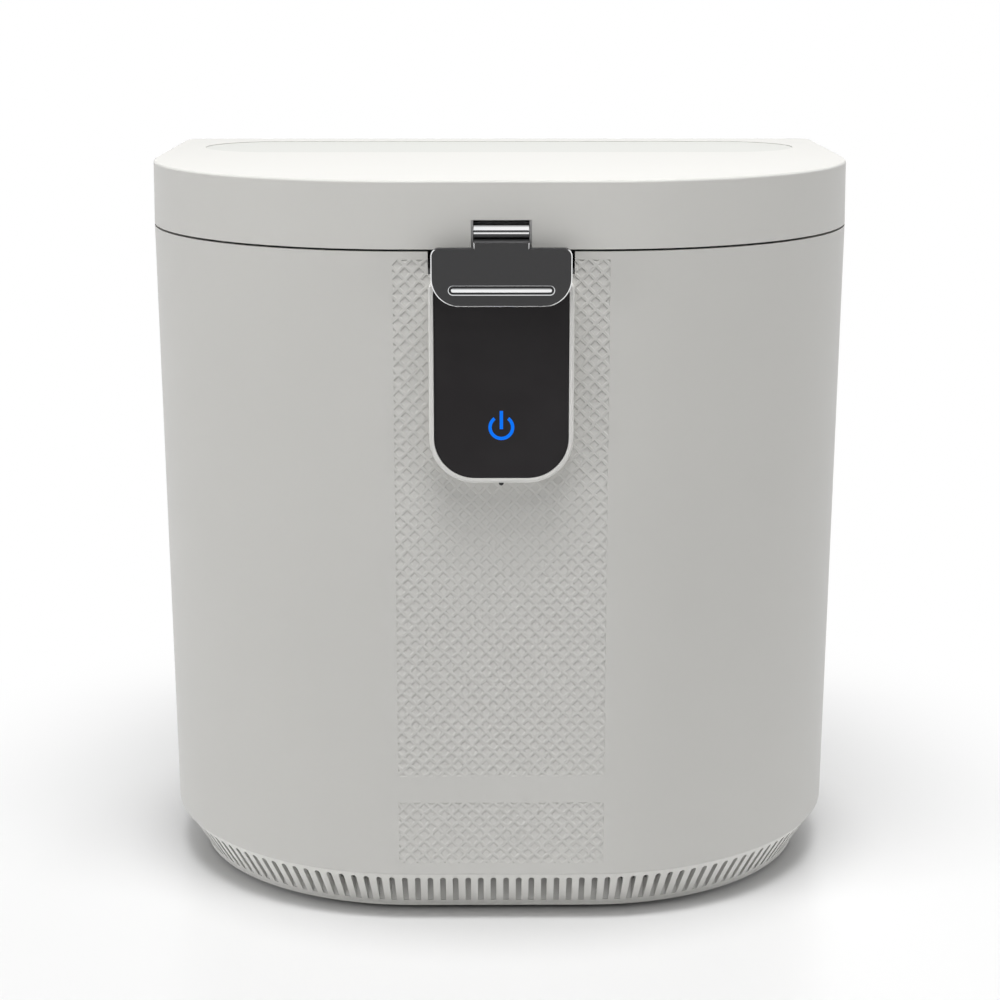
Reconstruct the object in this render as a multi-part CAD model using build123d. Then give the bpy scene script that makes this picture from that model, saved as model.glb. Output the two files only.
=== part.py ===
"""Electric food waste composter: a D-shaped counter-top machine with a hinged, latched lid.

Millimetres. +Z is up, the flat front faces -Y, and the floor is z = 0. X = 0 is the plane of symmetry.
Depths are given from the shell's front plane: front_y + depth.
"""
from build123d import *
from math import acos, cos, pi, radians, sin, tan
import os

os.makedirs("parts", exist_ok=True)

# ---- Overall form -------------------------------------------------------------------------------
body_width = 340
body_depth = 248
total_height = 350
front_flat = 84
back_corner = 8
wall = 2.5
draft = 0.0085
fit_gap = 0.3
run_gap = 0.06

foot_gap = 2.1
ring_height = 20.8
ring_lean = 12
ring_step = 1.3
ring_skin = 2.6
ring_lip = 1.2
slot_pitch = 6.0
slot_width = 2.7
slot_shift = -0.65
slot_low_rise = 3.2
slot_high_drop = 2.2
slot_floor_gap = 0.9
slot_window = 3.6
lid_height = 30.7
seam_gap = 1.0

hinge_radius = 4
hinge_gap = 0.5
latch_reach = 11

hinge_reach = hinge_gap + 2 * hinge_radius
front_y = -(body_depth + hinge_reach - latch_reach) / 2
back_y = front_y + body_depth
ring_bottom_z = foot_gap
ring_top_z = ring_bottom_z + ring_height
seam_z = total_height - lid_height
shell_top_z = seam_z - seam_gap / 2
lid_bottom_z = seam_z + seam_gap / 2

# ---- Front: latch, keeper, control panel, pocket band -------------------------------------------
notch_width = 26.8
notch_height = 12.9
knuckle_side_gap = 1.2
knuckle_radius = 4.0
knuckle_depth = 4.8
knuckle_rise = 8.0
latch_pin_radius = 1.5
bracket_wall = 3
bracket_depth = 4
bracket_low_gap = 0.6
bracket_rise = 3
bracket_top_gap = 0.2
spring_half_width = 5
spring_thickness = 0.4
spring_gap = 0.1
spring_bow = 1.6
spring_top_reach = 5
spring_low_reach = 6

latch_width = 62
latch_height = 25.8
latch_overlap = 1.8
latch_thickness = 3
latch_top_corner = 3.6
latch_low_corner = 12.5
latch_bevel = 0.45
tongue_thickness = 2.6
tongue_lap = 0.2
tongue_relief = 1.5
bar_inset = 8.7
bar_radius = 1.0
bar_proud = 0.6
bar_drop = 18.6
bar_slot_height = 3.7
bar_slot_bevel = 0.35
claw_width = 18
claw_thickness = 3
claw_side_gap = 0.6
claw_root_flare = 2
claw_tip_bevel = (1.5, 1)
catch_gap = 0.3

cutout_side_gap = 1.5
cutout_height = 10.2
keeper_side_gap = 4
keeper_depth = 13.2
keeper_screw_depth = 10.4
keeper_screw_x = 20
keeper_foot = 2
keeper_post = 3
keeper_post_rise = 1.5
nose_gap = 0.8
nose_side_lap = 2
nose_height = 3
nose_reach = 2

bezel_drop = 103.5
bezel_top_gap = 2.9
bezel_proud = 5
bezel_lap = 1.3
bezel_rim = 2.1
bezel_corner = 20.5
bezel_top_corner = 3
panel_sunk = 0.6
panel_thickness = 2.5
panel_gap = 0.15
icon_rise = 25.4
icon_radius = 5.05
icon_stroke = 1.5
icon_opening = 37
icon_bar_top = 7.5
icon_bar_low = -0.8
icon_depth = 0.4
guide_radius = 8
weep_radius = 1.1

pocket_pitch = 6.5
pocket_columns = 15
band_recess = 0.6
band_top_gap = 2.9
band_low_z = 28.5
band_cut_depth = 4
band_gap_z = (60.3, 72.3)

# ---- Lid ----------------------------------------------------------------------------------------
lid_edge_round = 1.2
lid_taper = 0.5
inset_side_gap = 17.3
inset_width = 73.7
inset_back_gap = 20.15
inset_recess = 1.0
inset_sunk = 0.3
liner_thickness = 2.5
liner_rise = 2.2
liner_slot_count = 6
liner_slot_radii = (50, 75)
liner_slot_half = 2
lid_boss_radius = 4
lid_boss_inset = 12.4
lid_boss_turn = 48
lid_boss_margin = (42, 53.25)
screw_radius = 1.5
screw_head_radius = 2.8
screw_head_height = 1.5
lid_screw_bite = 10
gasket_height = 3
hinge_margin = 75
hinge_lid_half = 7
hinge_leaf_half = 15
hinge_leaf_thickness = 2
hinge_leaf_height = 20
hinge_pin_radius = 1.5
magnet_radius = 4
magnet_thickness = 1.5
magnet_margin = 32
magnet_y = 20
switch_size = (14, 6, 5)

# ---- Bucket, well and deck ----------------------------------------------------------------------
bucket_margin = 28
bucket_taper = 6
bucket_wall = 2
bucket_floor = 2.5
bucket_floor_gap = 2.5
bucket_flange_width = 8
bucket_flange = 2
well_gap = 3.5
well_wall = 1.5
well_flange_width = 8.5
well_flange = 2
well_hole_gap = 6
insulation_thickness = 6.5
insulation_gap = 1.5
insulation_low_rise = 5
insulation_drop = 8
heater_margin = 5.5
heater_thickness = 3
deck_drop = 10.8
deck_thickness = 3
deck_hole_gap = 0.5
deck_side_gap = 0.1
collar_thickness = 5
collar_height = 2
ledge_depth = 4
ledge_height = 4
bail_margin = 4
bail_wire = 1.75
grip_radius = 3.2
grip_sweep = 44
bail_lift = 0.2
ear_thickness = 3
ear_half = 6
ear_height = 7.5
ear_inset = 0.4
ear_corner = 4.2
bush_radius = 14
bush_flange_radius = 18.5
bush_flange = 2.5
bush_height = 10
cutter_count = 3
cutter_turn = 30
cutter_width = 6
cutter_height = 8
cutter_rise = 28
cutter_inner_radius = 30

# ---- Drive --------------------------------------------------------------------------------------
plate_z = 104
plate_thickness = 3
shaft_radius = 6
paddle_shaft_radius = 8
coupling_radius = 16
coupling_plate = 5
coupling_gap = 0.8
dog_height = 4
dog_count = 3
dog_sweep = 44
dog_turn = 8
hub_low_radius = 24
hub_top_radius = 13
hub_gap = 2
hub_height = 60
hub_cap = 15
hub_round = 4
arm_gap = 6
arm_low_gap = 0.5
arm_root_sink = 3
arm_height = 14
arm_thickness = 7
arm_tip_height = 10
arm_tip_thickness = 4.2
arm_lean = 25
upper_arm_rise = 36
upper_arm_gap = 12

pressure_angle = 20
tooth_height = 0.85
tooth_depth = 1.1
backlash = 0.45
root_share = 0.97
output_teeth = 44
idler_pinion_teeth = 14
idler_teeth = 40
motor_teeth = 14
output_gear_z = 60
output_gear_width = 12
window_count = 6
window_turn = 30
window_ring = 12
window_radius = 3.6
idler_gear_z = 76
idler_gear_width = 9
motor_angle = 37
idler_pin_radius = 4
idler_sleeve = 6
motor_shaft_radius = 3
motor_shaft_tail = 6
motor_shaft_gap = 3
output_shaft_tail = 3
tray_z = 52
tray_floor = 3
tray_wall = 3
tray_clearance = 2
tray_height = 35
cover_thickness = 3
cover_posts = ((-45, -30), (-45, 32), (48, -34), (60, 32))
bearing_radius = 13
bearing_width = 8
bearing_boss = 4
motor_radius = 28
motor_z = 7
motor_round = 4

# ---- Air path -----------------------------------------------------------------------------------
bay_side_gap = 15.5
bay_gearbox_gap = 8
bay_length_gap = 61
bay_low_rise = 5.1
bay_plate_gap = 4
bay_wall = 2
drawer_gap = 0.5
drawer_wall = 2
drawer_side_height = 58
drawer_front_thickness = 2.5
drawer_back_gap = 3
block_gap = 0.6
block_front_gap = 3
block_height = 46
seal_thickness = 2.4
seal_border = 3
louvre_count = 6
louvre_margin = 11
louvre_low_rise = 6
louvre_height = 3.2
louvre_pitch = 7.5
pull_width = 34
pull_reach = 5.5
pull_thickness = 3
pull_drop = 8
pull_lip_thickness = 1.8
pull_lip_drop = 3
pull_corner = 1.5

fan_offset = 3
fan_depth = 90.75
fan_wall = 2
fan_z = 30
fan_height = 34
fan_side_gap = 4.9
fan_inlet_radius = 20
impeller_gap = 3
impeller_hub_radius = 9
impeller_hub_height = 16
impeller_blades = 13
impeller_blade_height = 19
blade_thickness = 1.2
blade_root_gap = 4
blade_sweep = (4.5, 5)
fan_shaft_radius = 2
fan_shaft_tail = 8
fan_motor_radius = 13
fan_motor_height = 20
outlet_width = 26
outlet_height = 26
outlet_rise = 4
duct_side_gap = 17.5
duct_well_gap = 10
duct_length = 42
duct_offset = 12
duct_wall = 1.5
duct_foot = 44
port_slots = 5
port_land = 0.2

# ---- Base and electrics -------------------------------------------------------------------------
base_thickness = 3
foot_radius = 11
foot_stem_radius = 4
foot_bevel = 0.6
front_foot_margin = (95, 37.75)
back_foot_margin = (40, 37.25)
front_post_margin = (110, 36.75)
back_post_gap = 9
back_post_margin = 29.25
post_radius = 5

inlet_margin = 58
inlet_z = 48
inlet_width = 27
inlet_height = 20
inlet_depth = 22
inlet_rim = 2.5
inlet_cavity_width = 22
inlet_cavity_height = 15
inlet_cavity_depth = 17
inlet_wall = 2
blade_size = (4, 12, 2)
blade_spread = 7
blade_drop = 1.5
earth_blade_drop = 4
board_margin = (22, 7.25)
board_size = (70, 56)
board_z = 70
board_thickness = 1.6
transformer_size = (30, 28, 22)
transformer_margin = (8, 6)
capacitor_radius = 8
capacitor_height = 24
capacitor_margin = 14
capacitor_rows = (14, 36)
standoff_radius = 3
standoff_margin = 5
control_board_width = 50
control_board_height = 70
control_board_gap = 2


# ---- Helpers ------------------------------------------------------------------------------------
def box(x, y, z):
    """A box from its low and high ends along each axis."""
    spans = (x, y, z)
    middle = [(low + high) / 2 for low, high in spans]
    return Pos(*middle) * Box(*[high - low for low, high in spans])


def disc(radius, z, x=0, y=0):
    """An upright cylinder between two heights."""
    return Pos(x, y, (z[0] + z[1]) / 2) * Cylinder(radius, z[1] - z[0])


def tube(outer, inner, z, x=0, y=0):
    """An upright tube between two heights."""
    return disc(outer, z, x, y) - disc(inner, (z[0] - 1, z[1] + 1), x, y)


def cross_bar(radius, x, y, z):
    """A round bar along X."""
    return Pos((x[0] + x[1]) / 2, y, z) * Rot(0, 90, 0) * Cylinder(radius, x[1] - x[0])


def front_prism(outline, y):
    """A prism along Y from an outline drawn in x and z."""
    placed = Plane(origin=(0, y[1], 0), x_dir=(1, 0, 0), z_dir=(0, -1, 0)) * outline
    return extrude(placed, y[1] - y[0])


def side_prism(points, half_width, x=0):
    """A prism along X from an outline of (y, z) points."""
    outline = make_face(Polyline(*points, close=True))
    return Pos(x, 0, 0) * extrude(Plane.YZ * outline, half_width, both=True)


def rounded_plate(half_width, z, low_corner, high_corner):
    """An upright outline with its own corner radius below and above."""
    outline = Pos(0, (z[0] + z[1]) / 2) * Rectangle(2 * half_width, z[1] - z[0])
    outline = fillet(outline.vertices().group_by(Axis.Y)[0], low_corner)
    return fillet(outline.vertices().group_by(Axis.Y)[-1], high_corner)


def mirrored(solid):
    """The solid and its mirror image in the plane of symmetry."""
    return [solid, mirror(solid, Plane.YZ)]


def d_face(z, inset, back_inset=None):
    """The D-shaped plan at one height, standing in by inset from the widest outline."""
    half = body_width / 2 - inset
    flat = front_flat / 2
    radius = half - flat
    low = front_y + inset
    high = back_y - (inset if back_inset is None else back_inset)
    arc_y = low + radius
    outline = [
        Line((-flat, low), (flat, low)),
        CenterArc((flat, arc_y), radius, -90, 90),
        Line((half, arc_y), (half, high)),
        Line((half, high), (-half, high)),
        Line((-half, high), (-half, arc_y)),
        CenterArc((-flat, arc_y), radius, 180, 90),
    ]
    face = make_face(outline)
    corner = max(back_corner - inset, 2)
    return Pos(0, 0, z) * fillet(face.vertices().group_by(Axis.Y)[-1], corner)


def d_block(z, insets, back_insets=(None, None)):
    """A D-shaped block between two heights, with its own inset at each."""
    low = d_face(z[0], insets[0], back_insets[0])
    high = d_face(z[1], insets[1], back_insets[1])
    return loft([low, high], ruled=True)


def shell_inset(z):
    """How far the drafted shell stands in from its top edge's outline."""
    return draft * (shell_top_z - z)


def shell_envelope(extra=0.0, top=shell_top_z, bottom=ring_top_z):
    """The shell's outer form, or its inner form when extra is the wall."""
    insets = (shell_inset(bottom) + extra, shell_inset(top) + extra)
    return d_block((bottom, top), insets, (extra, extra))


def involute(angle):
    """The involute function of a pressure angle."""
    return tan(angle) - angle


def gear(module, teeth, z, bore, phase, x=0, y=0):
    """A spur gear with one tooth centred on the direction phase, in degrees."""
    pitch = module * teeth / 2
    base = pitch * cos(radians(pressure_angle))
    tip = pitch + tooth_height * module
    root = pitch - tooth_depth * module
    half_tooth = (pi * module / 2 - backlash) / (2 * pitch)

    def half_angle(radius):
        pressure = acos(min(1.0, base / radius))
        return half_tooth + involute(radians(pressure_angle)) - involute(pressure)

    flank = [
        (root, half_angle(max(root, base)) * root_share),
        (pitch, half_angle(pitch)),
        (tip, half_angle(tip)),
    ]
    points = []
    for tooth in range(teeth):
        middle = radians(phase) + 2 * pi * tooth / teeth
        for radius, half in flank:
            points.append((radius * cos(middle - half), radius * sin(middle - half)))
        for radius, half in reversed(flank):
            points.append((radius * cos(middle + half), radius * sin(middle + half)))
    outline = make_face(Polyline(*points, close=True)) - Circle(bore)
    return Pos(x, y, z[0]) * extrude(outline, z[1] - z[0])


# ---- Places worked out from the sizes above -----------------------------------------------------
half_width = body_width / 2
axis_y = (front_y + back_y) / 2
output_module = body_width / 136
idler_module = 0.7 * output_module
idler_x = output_module * (output_teeth + idler_pinion_teeth) / 2
motor_distance = idler_module * (idler_teeth + motor_teeth) / 2
motor_x = idler_x + motor_distance * cos(radians(motor_angle))
motor_y = axis_y + motor_distance * sin(radians(motor_angle))
gearbox_reach = output_module * (output_teeth / 2 + tooth_height) + tray_clearance + tray_wall
cover_z = tray_z + tray_height

knuckle_width = notch_width - 2 * knuckle_side_gap
latch_axis_y = front_y + knuckle_depth
latch_axis_z = lid_bottom_z + knuckle_rise
latch_top_z = lid_bottom_z + latch_overlap
latch_low_z = latch_top_z - latch_height
plate_front_y = front_y - latch_reach + bar_proud
plate_back_y = plate_front_y + latch_thickness
tongue_top_z = latch_axis_z - knuckle_radius + tongue_lap
bar_z = latch_top_z - bar_drop
bar_width = latch_width - 2 * bar_inset
cutout_width = latch_width + 2 * cutout_side_gap
cutout_z = shell_top_z - cutout_height
claw_z = cutout_z + claw_side_gap
bezel_width = latch_width + 2 * bezel_lap
bezel_top_z = cutout_z - bezel_top_gap
bezel_low_z = shell_top_z - bezel_drop
icon_z = bezel_low_z + icon_rise

hinge_axis_y = back_y + hinge_gap + hinge_radius
hinge_axis_z = seam_z
hinge_x = half_width - hinge_margin
liner_z = lid_bottom_z + liner_rise
corner_radius = half_width - front_flat / 2
boss_reach = corner_radius - lid_boss_inset
lid_boss_spots = (
    (front_flat / 2 + boss_reach * sin(radians(lid_boss_turn)),
     front_y + corner_radius - boss_reach * cos(radians(lid_boss_turn))),
    (half_width - lid_boss_margin[0], back_y - lid_boss_margin[1]),
)
magnet_x = half_width - magnet_margin

deck_z = shell_top_z - deck_drop
collar_top_z = deck_z + deck_thickness + collar_height
gasket_z = collar_top_z + fit_gap
bucket_top_radius = body_depth / 2 - bucket_margin
bucket_bottom_radius = bucket_top_radius - bucket_taper
bucket_flange_radius = bucket_top_radius + bucket_flange_width
deck_hole_radius = bucket_flange_radius + deck_hole_gap
collar_radius = deck_hole_radius + collar_thickness
well_radius = bucket_top_radius + well_gap
well_flange_radius = well_radius + well_flange_width
well_hole_radius = coupling_radius + well_hole_gap
well_floor_z = plate_z + plate_thickness + heater_thickness
bucket_floor_z = well_floor_z + well_wall + bucket_floor_gap
insulation_radius = well_radius + insulation_gap + insulation_thickness
bail_radius = bucket_top_radius + bail_margin
bail_z = deck_z + bucket_flange + grip_radius + bail_lift
coupling_z = bucket_floor_z - coupling_gap - coupling_plate + fit_gap
hub_low_z = bucket_floor_z + bucket_floor + hub_gap

bay_x = (-(half_width - wall - bay_side_gap), -(gearbox_reach + bay_gearbox_gap))
bay_z = (ring_top_z + bay_low_rise, plate_z - bay_plate_gap)
fan_case_radius = (bay_x[1] - bay_x[0]) / 2 - fan_side_gap
fan_x = (bay_x[0] + bay_x[1]) / 2 + fan_offset
fan_y = front_y + fan_depth
bay_front_y = fan_y + bay_length_gap
outlet_x = (fan_x - fan_case_radius, fan_x - fan_case_radius + outlet_width)
outlet_z = (fan_z + outlet_rise, fan_z + outlet_rise + outlet_height)
duct_x = (-(half_width - wall - duct_side_gap), -(insulation_radius + duct_well_gap))
duct_y = (fan_y + duct_offset, fan_y + duct_offset + duct_length)

front_foot = (half_width - front_foot_margin[0], front_y + front_foot_margin[1])
back_foot = (half_width - back_foot_margin[0], back_y - back_foot_margin[1])
front_post = (half_width - front_post_margin[0], front_y + front_post_margin[1])
back_post = (-bay_x[1] - back_post_gap, back_y - back_post_margin)
inlet_x = half_width - inlet_margin
board_x = (half_width - board_margin[0] - board_size[0], half_width - board_margin[0])
board_y = (back_y - board_margin[1] - board_size[1], back_y - board_margin[1])

ring_top_inset = draft * (shell_top_z - ring_top_z) + ring_step
ring_bottom_inset = ring_top_inset + ring_lean


# ---- Housing ------------------------------------------------------------------------------------
def make_outer_shell():
    outside = shell_envelope()
    outside = fillet(outside.edges().group_by(Axis.Z)[0], ring_step)
    shell = outside - shell_envelope(wall, shell_top_z + 1, ring_top_z - 1)
    ledge_z = (deck_z - ledge_height, deck_z)
    ledge = shell_envelope(wall, ledge_z[1], ledge_z[0]) - shell_envelope(wall + ledge_depth, ledge_z[1], ledge_z[0])
    shell += ledge
    half_cutout = cutout_width / 2
    shell -= box((-half_cutout, half_cutout), (front_y - 1, front_y + wall + 1), (cutout_z, shell_top_z + 1))
    shell -= band_fields()
    shell -= drawer_window()
    shell -= inlet_block(inlet_width, inlet_height, (back_y - 2 * wall, back_y + wall))
    shell -= front_prism(Pos(0, icon_z) * Circle(guide_radius + fit_gap), (front_y - 1, front_y + 2 * wall))
    shell -= front_prism(Pos(0, bezel_low_z) * Circle(weep_radius), (front_y - 1, front_y + 2 * wall))
    return shell


def band_fields():
    """The shallow recesses that hold the moulded pockets, above and below the band's bare strip."""
    half = pocket_pitch * pocket_columns / 2
    depth = shell_envelope() - shell_envelope(band_recess)
    fields = []
    for z in ((band_low_z, band_gap_z[0]), (band_gap_z[1], shell_top_z - band_top_gap)):
        field = depth & box((-half, half), (front_y - 1, front_y + band_cut_depth), z)
        fields.append(field - front_prism(bezel_outline(0), (front_y - 1, front_y + band_cut_depth + 1)))
    return fields


def drawer_window():
    x = (bay_x[0] + bay_wall, bay_x[1] - bay_wall)
    z = (bay_z[0] + bay_wall, bay_z[1] - bay_wall)
    return box(x, (back_y - 2 * wall, back_y + wall), z)


def plan_point(inset, distance):
    """A point of the plan outline and its outward normal, at a distance from the front's middle."""
    flat = front_flat / 2
    radius = body_width / 2 - inset - flat
    arc = radius * pi / 2
    if distance < flat:
        return distance, front_y + inset, 0.0, -1.0
    if distance < flat + arc:
        turn = (distance - flat) / radius
        x = flat + radius * sin(turn)
        y = front_y + inset + radius * (1 - cos(turn))
        return x, y, sin(turn), -cos(turn)
    return body_width / 2 - inset, front_y + inset + radius + distance - flat - arc, 1.0, 0.0


def make_vent_ring():
    """A leaning skirt whose slots have upright floors and open into its hollow at their upper ends."""
    lip_z = ring_bottom_z + ring_lip
    lean = ring_lean / (ring_top_z - lip_z)
    insets = (ring_bottom_inset, ring_top_inset)
    ring = d_block((lip_z, ring_top_z), insets) + d_block((ring_bottom_z, lip_z), (insets[0], insets[0]))
    hollow_inset = ring_bottom_inset + ring_skin
    slot_low_z = ring_bottom_z + slot_low_rise
    slot_high_z = ring_top_z - slot_high_drop
    shelf_z = slot_high_z - slot_window
    shelf_inset = ring_top_inset + (ring_top_z - shelf_z) * lean + ring_skin
    ring -= d_block((ring_bottom_z - 1, ring_top_z), (hollow_inset, hollow_inset))
    ring -= d_block((shelf_z, ring_top_z), (shelf_inset, ring_top_inset + ring_skin))
    floor_inset = ring_bottom_inset - slot_floor_gap
    middle_inset = (ring_bottom_inset + ring_top_inset) / 2
    half_front = front_flat / 2
    side_start = half_front + (half_width - middle_inset - half_front) * pi / 2
    side_length = back_y - middle_inset - back_corner - (front_y + half_width - half_front)
    count = int((side_start + side_length - slot_width) / slot_pitch)
    straight = slot_high_z - slot_low_z - slot_width / 2
    outline = Rectangle(straight, slot_width) + Pos(straight / 2) * Circle(slot_width / 2)
    slots = []
    for index in range(-count, count):
        along = (index + 0.5) * slot_pitch + slot_shift
        x, y, out_x, out_y = plan_point(middle_inset, abs(along))
        side = 1 if along > 0 else -1
        sink = floor_inset - middle_inset
        place = Plane(
            origin=(side * (x - out_x * sink), y - out_y * sink, slot_low_z + straight / 2),
            x_dir=(0, 0, 1),
            z_dir=(side * out_x, out_y, 0),
        )
        slots.append(extrude(place * outline, ring_lean + 2))
    return ring - slots


def make_base_plate():
    inset = ring_bottom_inset + ring_skin
    top_z = ring_bottom_z + base_thickness
    plate = d_block((ring_bottom_z, top_z), (inset, inset))
    for x, y in (front_post, back_post):
        plate += mirrored(disc(post_radius, (top_z, plate_z), x, y))
    for x, y in (front_foot, back_foot):
        plate -= mirrored(disc(foot_stem_radius, (0, top_z + 1), x, y))
    return plate


def make_feet():
    feet = []
    for x, y in (front_foot, back_foot):
        foot = disc(foot_radius, (0, ring_bottom_z), x, y)
        foot = chamfer(foot.edges().group_by(Axis.Z)[0], foot_bevel)
        foot += disc(foot_stem_radius, (ring_bottom_z, ring_bottom_z + base_thickness), x, y)
        feet += mirrored(foot)
    return feet


def make_support_plate():
    inset = shell_inset(plate_z) + wall + fit_gap
    plate = d_block((plate_z, plate_z + plate_thickness), (inset, inset))
    plate -= disc(well_hole_radius, (plate_z - 1, plate_z + plate_thickness + 1), 0, axis_y)
    plate -= box(duct_x, duct_y, (plate_z - 1, plate_z + plate_thickness + 1))
    return plate


def make_top_deck():
    z = (deck_z, deck_z + deck_thickness)
    back_inset = wall + deck_side_gap
    inset = shell_inset(deck_z) + back_inset
    deck = d_block(z, (inset, inset), (back_inset, back_inset))
    deck += disc(collar_radius, (z[1], collar_top_z), 0, axis_y)
    deck -= disc(deck_hole_radius, (z[0] - 1, collar_top_z + 1), 0, axis_y)
    inner_x = (duct_x[0] + duct_wall, duct_x[1] - duct_wall)
    inner_y = (duct_y[0] + duct_wall, duct_y[1] - duct_wall)
    pitch = (inner_x[1] - inner_x[0]) / port_slots
    for index in range(port_slots):
        span = [inner_x[0] + (index + share) * pitch for share in (port_land, 1 - port_land)]
        deck -= box(span, inner_y, (z[0] - 1, z[1] + 1))
    return deck


# ---- Front: keeper and control panel ------------------------------------------------------------
def make_latch_keeper():
    deck_top = deck_z + deck_thickness
    half = cutout_width / 2 - keeper_side_gap
    nose_z = claw_z + claw_thickness + nose_gap
    nose_y = front_y + wall
    post_y = nose_y + nose_reach
    foot_y = (front_y + wall + fit_gap, front_y + keeper_depth)
    post_z = (deck_top, nose_z + nose_height + keeper_post_rise)
    keeper = box((-half, half), foot_y, (deck_top, deck_top + keeper_foot))
    keeper += box((-half, half), (post_y, post_y + keeper_post), post_z)
    nose = [(nose_y, nose_z + 1), (nose_y, nose_z + 2), (post_y, nose_z + nose_height), (post_y, nose_z)]
    keeper += side_prism(nose, claw_width / 2 + nose_side_lap)
    hole_z = (deck_top - 1, deck_top + keeper_foot + 1)
    return keeper - mirrored(disc(screw_radius, hole_z, keeper_screw_x, front_y + keeper_screw_depth))


def make_keeper_screws():
    deck_top = deck_z + deck_thickness
    foot_top = deck_top + keeper_foot
    y = front_y + keeper_screw_depth
    head = disc(screw_head_radius, (foot_top, foot_top + screw_head_height), keeper_screw_x, y)
    return mirrored(head + disc(screw_radius, (deck_top, foot_top), keeper_screw_x, y))


def bezel_outline(rim):
    z = (bezel_low_z + rim, bezel_top_z - rim)
    return rounded_plate(bezel_width / 2 - rim, z, bezel_corner - rim, bezel_top_corner)


def make_control_bezel():
    face_y = front_y - bezel_proud
    bezel = front_prism(bezel_outline(0), (face_y, front_y + wall))
    bezel = fillet(bezel.faces().sort_by(Axis.Y)[0].outer_wire().edges(), 1.0)
    bezel -= front_prism(bezel_outline(bezel_rim), (face_y - 1, face_y + panel_sunk + panel_thickness))
    bezel -= front_prism(Pos(0, icon_z) * Circle(guide_radius + fit_gap), (face_y, front_y + 2 * wall))
    return bezel - shell_envelope()


def icon_outline():
    arc = CenterArc((0, 0), icon_radius, 90 + icon_opening, 360 - 2 * icon_opening)
    bar = Line((0, icon_bar_low), (0, icon_bar_top))
    return Pos(0, icon_z) * (trace(arc, icon_stroke) + trace(bar, icon_stroke))


def make_control_panel():
    face_y = front_y - bezel_proud + panel_sunk
    panel = front_prism(bezel_outline(bezel_rim + panel_gap), (face_y, face_y + panel_thickness))
    return panel - front_prism(icon_outline(), (face_y - 1, face_y + icon_depth))


def make_power_icon():
    face_y = front_y - bezel_proud + panel_sunk
    return front_prism(icon_outline(), (face_y, face_y + icon_depth)).solids()


def make_light_guide():
    y = (front_y - bezel_proud + panel_sunk + panel_thickness, control_board_front())
    return front_prism(Pos(0, icon_z) * Circle(guide_radius), y)


def control_board_front():
    return front_y + shell_inset(icon_z) + wall + control_board_gap


def make_control_board():
    half = control_board_width / 2
    y = control_board_front()
    low = icon_z - control_board_height / 4
    return box((-half, half), (y, y + board_thickness), (low, low + control_board_height))


# ---- Latch --------------------------------------------------------------------------------------
def latch_outline():
    return rounded_plate(latch_width / 2, (latch_low_z, latch_top_z), latch_low_corner, latch_top_corner)


def make_latch_plate():
    """The plate, with a tongue that runs back under the knuckle and a slot for the bright bar."""
    tongue_z = (latch_top_z - latch_low_corner, tongue_top_z)
    tongue_outline = Pos(0, sum(tongue_z) / 2) * Rectangle(knuckle_width, tongue_z[1] - tongue_z[0])
    plate = front_prism(latch_outline() + tongue_outline, (plate_front_y, plate_back_y))
    plate -= front_prism(bar_slot_outline(), (plate_front_y - 1, plate_front_y + 2 * bar_radius - bar_proud))
    slot_edges = plate.faces().sort_by(Axis.Y)[0].inner_wires()[0].edges()
    plate = chamfer(slot_edges, bar_slot_bevel)
    plate = chamfer(plate.faces().sort_by(Axis.Y)[0].outer_wire().edges(), latch_bevel)
    arm_z = tongue_top_z - tongue_thickness
    arm = [
        (plate_back_y - 1, tongue_top_z),
        (latch_axis_y, tongue_top_z),
        (latch_axis_y, arm_z),
        (plate_back_y + tongue_relief, arm_z),
        (plate_back_y, arm_z - tongue_relief),
        (plate_back_y - 1, arm_z - tongue_relief),
    ]
    plate += side_prism(arm, knuckle_width / 2)
    return plate - cross_bar(knuckle_radius, (-knuckle_width, knuckle_width), latch_axis_y, latch_axis_z)


def bar_slot_outline():
    return Pos(0, bar_z) * SlotOverall(bar_width + bar_slot_height - 2 * bar_radius, bar_slot_height)


def make_latch_knuckle():
    half = knuckle_width / 2
    knuckle = cross_bar(knuckle_radius, (-half, half), latch_axis_y, latch_axis_z)
    return knuckle - cross_bar(latch_pin_radius + run_gap, (-half - 1, half + 1), latch_axis_y, latch_axis_z)


def make_latch_bar():
    y = plate_front_y - bar_proud + bar_radius
    half = bar_width / 2 - bar_radius
    bar = cross_bar(bar_radius, (-half, half), y, bar_z)
    return bar + [Pos(x, y, bar_z) * Sphere(bar_radius) for x in (-half, half)]


def make_latch_claw():
    tip_y = front_y + wall - catch_gap
    top_z = claw_z + claw_thickness
    flare = claw_root_flare
    bevel_y, bevel_z = claw_tip_bevel
    profile = [
        (plate_back_y, claw_z - flare),
        (plate_back_y, top_z + flare),
        (plate_back_y + flare, top_z),
        (tip_y - bevel_y, top_z),
        (tip_y, top_z - bevel_z),
        (tip_y, claw_z + bevel_z),
        (tip_y - bevel_z, claw_z),
        (plate_back_y + flare, claw_z),
    ]
    return side_prism(profile, claw_width / 2)


def bracket_span():
    inner = knuckle_width / 2 + fit_gap
    return inner, inner + bracket_wall


def make_latch_bracket():
    inner, outer = bracket_span()
    y = (front_y + wall, latch_axis_y + knuckle_radius + bracket_depth)
    notch_top_z = lid_bottom_z + notch_height
    z = (lid_bottom_z + bracket_low_gap, notch_top_z + bracket_rise)
    bracket = box((-outer, outer), y, z)
    bracket -= box((-inner, inner), (y[0] - 1, y[1] - 2), (z[0] - 1, notch_top_z + bracket_top_gap))
    bracket -= cross_bar(latch_pin_radius, (-outer - 1, outer + 1), latch_axis_y, latch_axis_z)
    return bracket & lid_cavity()


def make_latch_pin():
    outer = bracket_span()[1]
    return cross_bar(latch_pin_radius, (-outer, outer), latch_axis_y, latch_axis_z)


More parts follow.
